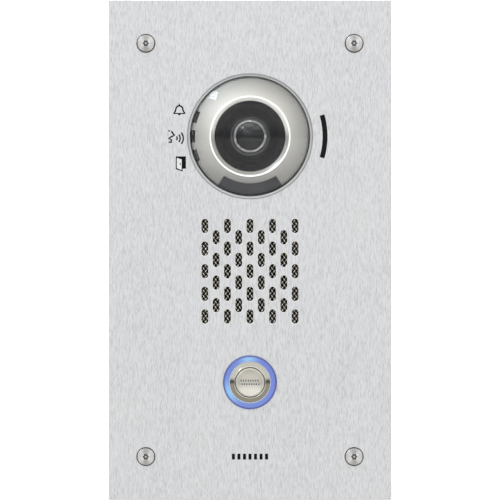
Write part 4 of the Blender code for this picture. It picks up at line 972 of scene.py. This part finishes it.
def makeRingLip():
    # a flat polished land, then a band that slopes down into the throat
    lipY = domeY(ring["lip"], ringInset)
    outside, throatY = ring["lip"] + ring["land"] + 0.02, lipY + ring["deep"]
    bandY = lipY + ring["band"]
    rings = [(outside, lipY + 0.35), (outside - 0.1, lipY + 0.12), (outside - 0.25, lipY + 0.04)]
    rings += [(ring["lip"] + 0.2, lipY), (ring["lip"] + 0.05, lipY + 0.03), (ring["lip"] - 0.08, lipY + 0.12)]
    rings += [(ring["lip"] - 0.3, lipY + 0.24), (ring["throat"] + 0.3, bandY)]
    backR = ring["throat"] + ring["wall"]
    rings += [(ring["throat"] + 0.05, bandY + 0.2), (ring["throat"], throatY), (backR, throatY),
              (backR, lipY + 1.4), (outside, lipY + 1.4), rings[0]]
    revolve("ringLip", rings, cameraZ, 160, 34, "panel", "silver_ring", lipMetal, "camera_ring")


def makeWindows():
    inset = dome["wall"] + 0.45
    for name, values in windows.items():
        inner = ringEdge - values["deep"]
        rings = [(r, domeY(r, inset)) for r in spread(inner, ringEdge, 6)]
        depth = rings[-1][1] + 2.6
        rings += [(ringEdge, depth), (inner, depth), rings[0]]
        piece = turned(name, rings, 0, cameraZ, 160)
        cutWith(piece, wedge(values["deep"], values["half"], values["at"], 0.12), "INTERSECT")
        smooth(piece, 40)
        wide = values["half"] > 10
        place(piece, "panel", "smoked_window", smokedRibbed if wide else smoked, values["node"])


makeDome()
makeDomeRim()
makeSilverRing()
makeRingLip()
makeWindows()
print("camera window done")

# ---- camera: funnel, ball, lens

ball = dict(radius=16.6, wall=1.8, gap=0.4, opening=65.0, rearHole=11.2)
barrel = dict(radius=9.3, tip=16.5, rear=6.0, bore=6.0, seat=3.5)
lens = dict(radius=7.7, sphere=14.0, inner=5.2, bowl=2.3)


def makeFunnel():
    startY = domeY(ring["lip"], ringInset) + ring["deep"] + 0.3
    reach = ball["radius"] + ball["gap"]
    free = math.radians(ball["opening"])
    openR, openY = reach * math.sin(free), pivotY - reach * math.cos(free)
    outside = ring["throat"] + 0.8
    endY = back("lens_shroud")
    rings = [(outside - 1.3, startY), (outside, startY), (outside, endY), (reach + 0.3, endY),
             (reach - 0.1, pivotY - 5.9)]
    rings += [(openR, openY), (openR - 0.1, openY - 0.5), (openR + 0.2, openY - 0.8)]
    # three shallow steps up the inside of the funnel
    topR, topY = outside - 1.3, startY
    steps = 3
    lastR, lastY = openR + 0.2, openY - 0.8
    for i in range(1, steps + 1):
        r = lastR + (topR - lastR) * i / (steps + 0.5)
        y = lastY + (topY - lastY) * i / (steps + 0.5)
        rings += [(r - 0.45, y + 0.2), (r, y - 0.15)]
    rings.append(rings[0])
    revolve("cameraFunnel", rings, cameraZ, 144, 25, "panel", "black_plastic", funnelBlack, "lens_shroud")


def spherePoints(radius, start, end, count):
    # an arc about the pivot, in degrees from the front
    return arc(0, pivotY, radius, 90 - start, 90 - end, count)


def makeBall():
    bore = barrel["radius"] + 0.3
    inside = ball["radius"] - ball["wall"]
    first = math.degrees(math.asin(bore / ball["radius"]))
    last = 180 - math.degrees(math.asin(ball["rearHole"] / ball["radius"]))
    innerLast = 180 - math.degrees(math.asin(ball["rearHole"] / inside))
    innerFirst = math.degrees(math.asin(bore / inside))
    step = math.degrees(0.45 / ball["radius"])
    rings = spherePoints(ball["radius"], first, first + 2 * step, 2)
    rings += spherePoints(ball["radius"] - 0.25, first + 2.3 * step, first + 3.6 * step, 2)  # a groove
    rings += spherePoints(ball["radius"], first + 4 * step, last, 26)
    rings += spherePoints(inside, innerLast, innerFirst, 22)
    rings.append(rings[0])
    revolve("cameraBall", rings, cameraZ, 128, 30, "camera", "black_plastic", blackSatin, "camera_ball")


def makeBallCollar():
    # a ridged satin collar round the barrel's mouth in the ball
    r1, r2 = barrel["radius"] + 0.55, barrel["radius"] + 1.75
    y1 = pivotY - math.sqrt(ball["radius"] ** 2 - r1 ** 2)
    y2 = pivotY - math.sqrt(ball["radius"] ** 2 - r2 ** 2)
    rings = [(r1, y1 + 0.25), (r1, y1 - 0.25), (r1 + 0.15, y1 - 0.35), (r1 + 0.45, y1 - 0.3),
             (r1 + 0.6, y1 - 0.05), (r1 + 0.75, y1 - 0.1), (r2 - 0.1, y2 - 0.2), (r2, y2 - 0.05),
             (r2, y2 + 0.25), (r1, y1 + 0.25)]
    revolve("ballCollar", rings, cameraZ, 112, 30, "camera", "black_plastic", collarGrey)


def makeBarrel():
    tip = pivotY - barrel["tip"]
    seat, rear = tip + barrel["seat"], pivotY + barrel["rear"]
    bore = lens["radius"] + 0.3
    rings = [(bore, tip), (barrel["radius"] - 0.25, tip), (barrel["radius"], tip + 0.25)]
    for i in range(5):  # focusing grooves
        y = tip + 1.5 + i * 0.9
        rings += [(barrel["radius"], y), (barrel["radius"] - 0.3, y + 0.2),
                  (barrel["radius"] - 0.3, y + 0.5), (barrel["radius"], y + 0.7)]
    rings += [(barrel["radius"], rear), (barrel["bore"], rear), (barrel["bore"], seat), (bore, seat),
              (bore, tip)]
    revolve("lensBarrel", rings, cameraZ, 96, 30, "camera", "black_plastic", blackSatin, "lens_barrel")


def makeLensRing():
    y, r, bore = front("lens_ring"), barrel["radius"], lens["radius"] + 0.3
    deep = back("lens_ring")
    rings = [(bore, deep), (bore, y + 0.15), (bore + 0.15, y), (r - 0.55, y), (r - 0.15, y + 0.25),
             (r, y + 0.5), (r, deep), (bore, deep)]
    revolve("lensRing", rings, cameraZ, 112, 25, "camera", "lens_metal", lensMetal, "lens_ring")


def makeLens():
    # outer glass in its seat, two blackened steps and the small inner element
    edge = pivotY - barrel["tip"] - 0.3
    sag = lens["sphere"] - math.sqrt(lens["sphere"] ** 2 - lens["radius"] ** 2)

    def glassY(r):
        return edge - sag + lens["sphere"] - math.sqrt(lens["sphere"] ** 2 - r ** 2)

    bowl, rim = lens["bowl"], glassY(0) + 0.55
    rings = [(bowl * t, rim + 0.75 * (1 - t ** 2)) for t in spread(0, 1, 8)]
    rings += [(bowl + (lens["inner"] - bowl) * t, rim + 0.8 * t ** 2) for t in spread(0, 1, 8)[1:]]
    rings += [(r, glassY(lens["inner"]) + 0.9) for r in (lens["inner"], lens["inner"] + 0.45)]
    rings += [(r, glassY(r) + 0.05) for r in spread(lens["inner"] + 0.6, lens["radius"], 8)]
    rings += [(lens["radius"], back("front_lens")), (0, back("front_lens"))]
    revolve("frontLens", rings, cameraZ, 96, 30, "camera", "lens_glass", lensGlass, "front_lens")


makeFunnel()
makeBall()
makeBallCollar()
makeBarrel()
makeLensRing()
makeLens()
print("camera done")

# ---- camera lead

lead = dict(turns=1.6, spread=0.46, radius=0.38, drop=4.0, steps=60, free=1.0, held=2.0)


def makeCameraLead():
    # three wires twisted together, from the sensor to the board
    low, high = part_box("camera_lead")
    low, high = low / mm, high / mm
    strands = []
    for k in range(3):
        points = []
        for t in spread(0, 1, lead["steps"]):
            y = low.y + (high.y - low.y) * t
            drop = lead["drop"] * (3 * t * t - 2 * t ** 3)
            turn = 2 * math.pi * (lead["turns"] * t + k / 3)
            across, upward = lead["spread"] * math.cos(turn), lead["spread"] * math.sin(turn)
            points.append((across * mm, y * mm, (cameraZ / mm - drop + upward) * mm))
        strands.append(wire(f"cameraWire{k}", points, lead["radius"], 3))
    piece = smooth(joined(strands, "cameraLead"), 60)
    piece.data.materials.clear()
    piece.data.materials.append(leadSleeve)
    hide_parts("camera_lead")
    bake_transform(piece)


makeCameraLead()

# ---- woven mesh behind the speaker slots


def makeWovenMesh():
    # two sets of slanting wires that pass over and under each other, in a folded steel frame
    low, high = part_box("speaker_mesh")
    midY = (low.y + high.y) / 2
    wideHalf = (high.x - low.x) / 2 - mesh["margin"] * mm
    highHalf = (high.z - low.z) / 2 - mesh["margin"] * mm
    stepX, stepZ = mesh["wide"] / 2 * mm, mesh["high"] / 2 * mm
    lift = mesh["lift"] * mm
    reach = int(max(wideHalf / stepX, highHalf / stepZ)) + 2
    pieces = []
    for side in (1, -1):
        for k in range(-2 * reach, 2 * reach + 1, 2):
            points = []
            for n in range(-4 * reach, 4 * reach + 1):
                t = n / 2
                x, z = (k + t) / 2 * stepX, side * (t - k) / 2 * stepZ
                if abs(x) <= wideHalf and abs(z) <= highHalf:
                    wave = math.cos(math.pi * t / 2) * side * (1 if (k // 2) % 2 else -1)
                    points.append((x, midY + lift * wave, speakerZ + z))
            if len(points) > 2:
                pieces.append(points)
    strands = [wire(f"strand{i}", points, mesh["wire"], 1) for i, points in enumerate(pieces)]
    piece = smooth(joined(strands, "wovenMesh"), 60)
    place(piece, "panel", "woven_mesh", wireSteel, "speaker_mesh")
    loops = []
    for across, upward in (((high.x - low.x) / 2 / mm, (high.z - low.z) / 2 / mm),
                           (wideHalf / mm - 0.4, highHalf / mm - 0.4)):
        loops.append(rectangle(-across, across, speakerZ / mm - upward, speakerZ / mm + upward))
    border = flat("meshBorder", loops, low.y / mm, high.y / mm)
    place(border, "panel", "woven_mesh", zinc, "speaker_mesh")


makeWovenMesh()
print("woven mesh done")

# ---- call button

button = dict(dish=1.1, cap=8.2, bore=8.5, barrel=9.5, flange=11.55, ring=15.2, tube=13.0)


def makeLightRing():
    face, seat = front("button_light_ring"), plateFront - 0.3
    shoulder = 0.9
    rings = arc(button["ring"] - shoulder, face + shoulder, shoulder, 90, 0, 8)
    tubeIn = button["barrel"] + 0.3
    end = back("button_light_ring")
    rings += [(button["ring"], seat), (button["ring"] - 0.6, seat), (button["ring"] - 0.6, seat - 1.1),
              (button["tube"], seat - 1.1), (button["tube"], end), (tubeIn, end), (tubeIn, face + 0.2),
              (tubeIn + 0.2, face), rings[0]]
    revolve("buttonLightRing", rings, buttonZ, 128, 30, "panel", "blue_light", blueGlow, "button_light_ring")


def makeButtonBody():
    face, seat = front("button_body"), front("button_light_ring") - 0.3
    end = back("button_body")
    shelfFront = face + 12.0
    rings = [(button["bore"], face + 0.3), (button["bore"] + 0.1, face + 0.08), (button["bore"] + 0.3, face),
             (button["bore"] + 0.55, face + 0.05)]
    for t in spread(0, 1, 8):  # sloping bezel, a little crowned
        rings.append((button["bore"] + 0.7 + (button["flange"] - button["bore"] - 0.9) * t,
                      face + 0.12 + 1.45 * t + 0.08 * t ** 2))
    rings += [(button["flange"], seat - 0.35), (button["flange"], seat - 0.1),
              (button["flange"] - 0.1, seat), (button["barrel"], seat)]
    y = seat + 6
    while y < end - 1:
        rings += [(button["barrel"], y), (button["barrel"] - 0.35, y + 0.5)]
        y += 1.0
    rings += [(button["barrel"] - 0.3, end), (button["bore"], end), (button["bore"], shelfFront + 1.5),
              (3.1, shelfFront + 1.5), (3.1, shelfFront), (button["bore"], shelfFront), rings[0]]
    revolve("buttonBody", rings, buttonZ, 128, 30, "panel", "button_metal", buttonMetal, "button_body")


def makeButtonCap():
    face, end = front("button_cap"), back("button_cap")
    r = button["cap"]
    rings = [(0.9 * r * t, face + button["dish"] * (1 - t ** 2)) for t in spread(0, 1, 12)]  # dished face
    rings += [(0.94 * r, face), (0.975 * r, face + 0.08), (0.995 * r, face + 0.25), (r, face + 0.5),
              (r, end - 0.2), (r - 0.2, end), (0, end)]
    cap = turned("buttonCap", rings, 0, buttonZ, 112)
    marks = []
    for row, z in enumerate((1.0, -1.0)):  # two staggered rows of raised touch marks
        for k in range(-4, 4):
            deselectAll()
            x = (k + 0.3 + row * 0.4) * 1.35
            y = face + button["dish"] * (1 - (x * x + z * z) / (0.9 * r) ** 2)
            bpy.ops.mesh.primitive_uv_sphere_add(segments=12, ring_count=8, radius=0.5 * mm,
                                                 location=(x * mm, y * mm, buttonZ + z * mm),
                                                 scale=(0.85, 0.5, 1.3))
            marks.append(settle(bpy.context.object))
    dots = joined(marks, "touchMarks")
    smooth(cap, 30)
    smooth(dots, 60)
    place(dots, "call_button", "button_metal", darkSteel)
    place(cap, "call_button", "button_metal", capMetal, "button_cap")


spring = dict(turns=4.5, radius=4.8, thick=0.35, steps=160)


def makeReturnSpring():
    low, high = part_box("button_spring")
    radius, thick = spring["radius"] * mm, spring["thick"]
    points = []
    for t in spread(0, 1, spring["steps"]):
        turn = 2 * math.pi * spring["turns"] * t
        y = low.y + thick * mm + (high.y - low.y - 2 * thick * mm) * t
        points.append((radius * math.cos(turn), y, buttonZ + radius * math.sin(turn)))
    piece = smooth(wire("returnSpring", points, thick, 3), 50)
    place(piece, "panel", "spring_steel", springWire, "button_spring")
    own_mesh(piece)


makeLightRing()
makeButtonBody()
makeButtonCap()
makeReturnSpring()
print("call button done")

# ---- pictograms left of the camera

mark = dict(count=7, wide=1.7, gap=1.42, high=3.3, z=middle("plate_screw_3").z / mm)
icons = dict(thin=0.84, y=0.05, bell=(-39.9, 78.9), talk=(-43.0, 63.1), door=(-39.0, 49.3))


def strokePoints(points, width):
    # the outline of a line of the given width through the points
    half = width / 2
    left, right = [], []
    for i, (x, z) in enumerate(points):
        ax, az = points[max(i - 1, 0)]
        bx, bz = points[min(i + 1, len(points) - 1)]
        length = math.hypot(bx - ax, bz - az)
        nx, nz = -(bz - az) / length * half, (bx - ax) / length * half
        left.append((x + nx, z + nz))
        right.append((x - nx, z - nz))
    return left + right[::-1]


def inlay(name, loops, material, proud=0.0):
    top = plateFront - icons["y"] - proud
    piece = flat(name, loops, top, plateFront + 0.02)
    place(piece, "panel", "rubber" if material is blackInk else "face_plate", material)


def makeBellIcon():
    x, z = icons["bell"]
    w = icons["thin"]
    arch = ringPoints(1.95, 0, 180, 16, x, z + 0.6)
    outline = [(x + 3.1, z - 1.75), (x + 2.45, z - 0.8), (x + 2.15, z - 0.1)] + arch
    outline += [(x - 2.15, z - 0.1), (x - 2.45, z - 0.8), (x - 3.1, z - 1.75)]
    inlay("bellArch", [strokePoints(outline, w)], blackInk)
    inlay("bellBase", [rectangle(x - 3.4, x + 3.4, z - 2.1, z - 1.5)], blackInk)
    inlay("bellStem", [rectangle(x - 0.32, x + 0.32, z + 2.6, z + 3.8)], blackInk)
    inlay("bellClapper", [ringPoints(0.75, 180, 360, 10, x, z - 2.1)], blackInk)


def makeTalkIcon():
    x, z = icons["talk"]
    w = icons["thin"]
    inlay("talkBrow", [ringPoints(0.5, 0, 360, 12, x - 2.7, z + 4.2)], blackInk)
    profile = [(x - 1.4, z + 4.0), (x + 0.3, z + 1.5), (x - 0.9, z + 1.2), (x - 2.9, z - 0.1),
               (x - 1.4, z - 0.9), (x - 1.4, z - 2.1), (x - 2.9, z - 2.3)]
    inlay("talkProfile", [strokePoints(profile, w * 1.15)], blackInk)
    for i, radius in enumerate((1.75, 3.45, 5.2)):
        inlay(f"talkWave{i + 1}", [strokePoints(ringPoints(radius, -38, 38, 12, x + 0.1, z), w)], blackInk)


def makeDoorIcon():
    # a dark opening with an outlined leaf that stands ajar in front of it
    x, z = icons["door"]
    inlay("doorOpening", [rectangle(x - 2.9, x + 2.8, z - 3.4, z + 3.6)], blackInk)
    inlay("doorLeafEdge", [[(x - 2.9, z + 3.6), (x + 0.95, z + 2.3), (x + 0.95, z - 5.0),
                            (x - 2.9, z - 3.6)]], blackInk, 0.02)
    inlay("doorLeaf", [[(x - 2.35, z + 2.75), (x + 0.4, z + 1.85), (x + 0.4, z - 4.15),
                        (x - 2.35, z - 3.05)]], greyInk, 0.04)
    inlay("doorKnob", [ringPoints(0.42, 0, 360, 10, x - 0.35, z - 0.7)], blackInk, 0.06)


def makePlainMark():
    # a row of plain bars, where such panels carry lettering
    for i in range(mark["count"]):
        x = (i - (mark["count"] - 1) / 2) * (mark["wide"] + mark["gap"])
        bar = rectangle(x - mark["wide"] / 2, x + mark["wide"] / 2, mark["z"] - mark["high"] / 2,
                        mark["z"] + mark["high"] / 2)
        inlay(f"plainMark{i + 1}", [bar], blackInk)


makePlainMark()
makeBellIcon()
makeTalkIcon()
makeDoorIcon()
print("pictograms done")

# ---- wall box and cable entry

box = dict(wall=1.2, flange=13.0, fold=1.6, fixing=2.6, collar=4.2, knockOut=9.0)


def makeWallBox():
    low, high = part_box("back_box")
    low, high = low / mm, high / mm
    shell = block("wallBox", low, high)
    rounded(shell, box["fold"], 4)
    takeUp(shell)
    bpy.ops.object.mode_set(mode="EDIT")
    bpy.ops.mesh.select_all(action="DESELECT")
    bpy.ops.object.mode_set(mode="OBJECT")
    for face in shell.data.polygons:
        face.select = face.normal.y < -0.99 and face.area > 1e-3
    bpy.ops.object.mode_set(mode="EDIT")
    bpy.ops.mesh.inset(thickness=(box["flange"] - box["fold"]) * mm)
    bpy.ops.mesh.delete(type="FACE")
    bpy.ops.object.mode_set(mode="OBJECT")
    applyModifier(shell, "SOLIDIFY", thickness=box["wall"] * mm, offset=-1.0, use_even_offset=True)
    weld(shell, threshold=0)
    cutters = []
    for i in range(1, 5):
        at = middle(f"plate_screw_{i}")
        cutters.append(turned("hole", [(0, low.y - 1), (2.8, low.y - 1), (2.8, low.y + 3), (0, low.y + 3)],
                              at.x, at.z, 32))
    fixX, fixZ = high.x - 24.0, high.z - 34.0
    for sx in (-1, 1):
        for sz in (-1, 1):
            cutters.append(turned("hole", [(0, high.y - 3), (box["fixing"], high.y - 3),
                                           (box["fixing"], high.y + 1), (0, high.y + 1)],
                                  sx * fixX * mm, sz * fixZ * mm, 32))
    grommet = middle("cable_grommet")
    entry = turned("hole", [(0, -3), (8.3, -3), (8.3, 3), (0, 3)], 0, 0, 48, (90, 0, 0))
    cutters.append(moved(entry, (0, grommet.y, low.z * mm)))
    r = box["knockOut"]
    groove = [(r - 0.35, -0.4), (r + 0.35, -0.4), (r + 0.35, 0.4), (r - 0.35, 0.4), (r - 0.35, -0.4)]
    knockOuts = []  # in both sides, the back and the top
    for z in (-60, 60):
        knockOuts += [((x, (low.y + high.y) / 2, z), (0, 0, 90)) for x in (low.x, high.x)]
        knockOuts.append(((0, high.y, z), (0, 0, 0)))
    knockOuts.append(((0, grommet.y / mm, high.z), (90, 0, 0)))
    for spot, turn in knockOuts:
        cutters.append(moved(turned("groove", groove, steps=64), Vector(spot) * mm, turn))
    cutWith(shell, joined(cutters, "boxOpenings"))
    trueFlats(shell, 40)
    place(shell, "panel", "zinc_steel", zinc, "back_box")
    collars = []
    for i in range(1, 5):
        at = middle(f"plate_screw_{i}")
        rings = [(2.8, low.y + 1.0), (box["collar"], low.y + 1.0), (box["collar"], low.y + 5.7),
                 (box["collar"] - 0.3, low.y + 6.0), (2.8, low.y + 6.0), (2.8, low.y + 1.0)]
        collars.append(turned("collar", rings, at.x, at.z, 40))
    piece = smooth(joined(collars, "threadedCollars"))
    place(piece, "panel", "zinc_steel", zinc, "back_box")


def makeGrommet():
    low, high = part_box("cable_grommet")
    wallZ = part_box("back_box")[0].z / mm
    out, inside = low.z / mm - wallZ, high.z / mm - wallZ
    rings = [(5.5, out + 0.5), (6.0, out), (9.6, out), (10.5, out + 0.6), (10.5, -0.1), (8.1, -0.1),
             (8.1, 1.3), (10.5, 1.3), (10.5, inside - 0.5), (10.0, inside), (6.0, inside),
             (5.5, inside - 0.4), (5.5, out + 0.5)]
    piece = turned("cableGrommet", rings, steps=72)
    smooth(moved(piece, (0, middle("cable_grommet").y, wallZ * mm), (90, 0, 0)), 35)
    place(piece, "panel", "rubber", blackRubber, "cable_grommet")


makeWallBox()
makeGrommet()
print("wall box done")

# ---- carried-over CAD nodes get their finishes

finishes = {
    blackRubber: ["plate_gasket", "dome_gasket", "speaker_gasket", "mic_boot", "button_seal"],
    basketBlack: ["speaker_basket"],
    zinc: ["camera_bracket", "speaker_retainer", "button_nut"]
    + [f"clamp_nut_{i}" for i in range(1, 5)] + [f"board_screw_{i}" for i in range(1, 5)]
    + [f"retainer_nut_{i}" for i in (1, 2)],
    circuit: ["led_board", "sensor_board", "button_led_board", "main_board"],
    blackPlastic: ["tilt_lever", "button_plunger", "button_switch", "board_cover"],
    darkSteel: ["speaker_magnet", "mic_capsule"],
    springWire: ["tilt_pin_left", "tilt_pin_right"],
    paper: ["speaker_cone"],
    greenPlastic: ["terminal_block"],
    leadSleeve: ["speaker_lead", "mic_lead", "button_lead"],
}
for material, nodes in finishes.items():
    for node in nodes:
        target = frame["nodes"][node]
        target.data.materials.clear()
        target.data.materials.append(material)
print("carried-over parts finished")

# ---- floor and backdrop

stage = dict(floor=40, wall=12, behind=4.5, rise=5.8, glow=0.8, below=0.0002)

def makeStage():
    finish = Finish("paleStage", (0.92, 0.92, 0.92), 0.9)
    grain = finish.use(grit, Scale=90.0)
    finish.tint(grain["Cloud"], (0.95, 0.95, 0.95), 0.0, 0.4)
    finish.shader.inputs["Emission Color"].default_value = (1, 1, 1, 1)
    finish.shader.inputs["Emission Strength"].default_value = stage["glow"]
    floorZ = cadBox[0][2] - stage["below"]
    deselectAll()
    bpy.ops.mesh.primitive_plane_add(size=stage["floor"], location=(0, 0, floorZ))
    floor = bpy.context.object
    floor.name = "floor"
    settle(floor)
    bpy.ops.mesh.primitive_plane_add(size=stage["wall"], rotation=(math.radians(90), 0, 0),
                                     location=(0, stage["behind"], floorZ + stage["rise"]))
    wall = bpy.context.object
    wall.name = "backdrop"
    settle(wall)
    for piece in (floor, wall):
        piece.data.materials.append(finish.material)
        piece.visible_glossy = piece.visible_shadow = False  # the metal mirrors the soft cards alone


makeStage()
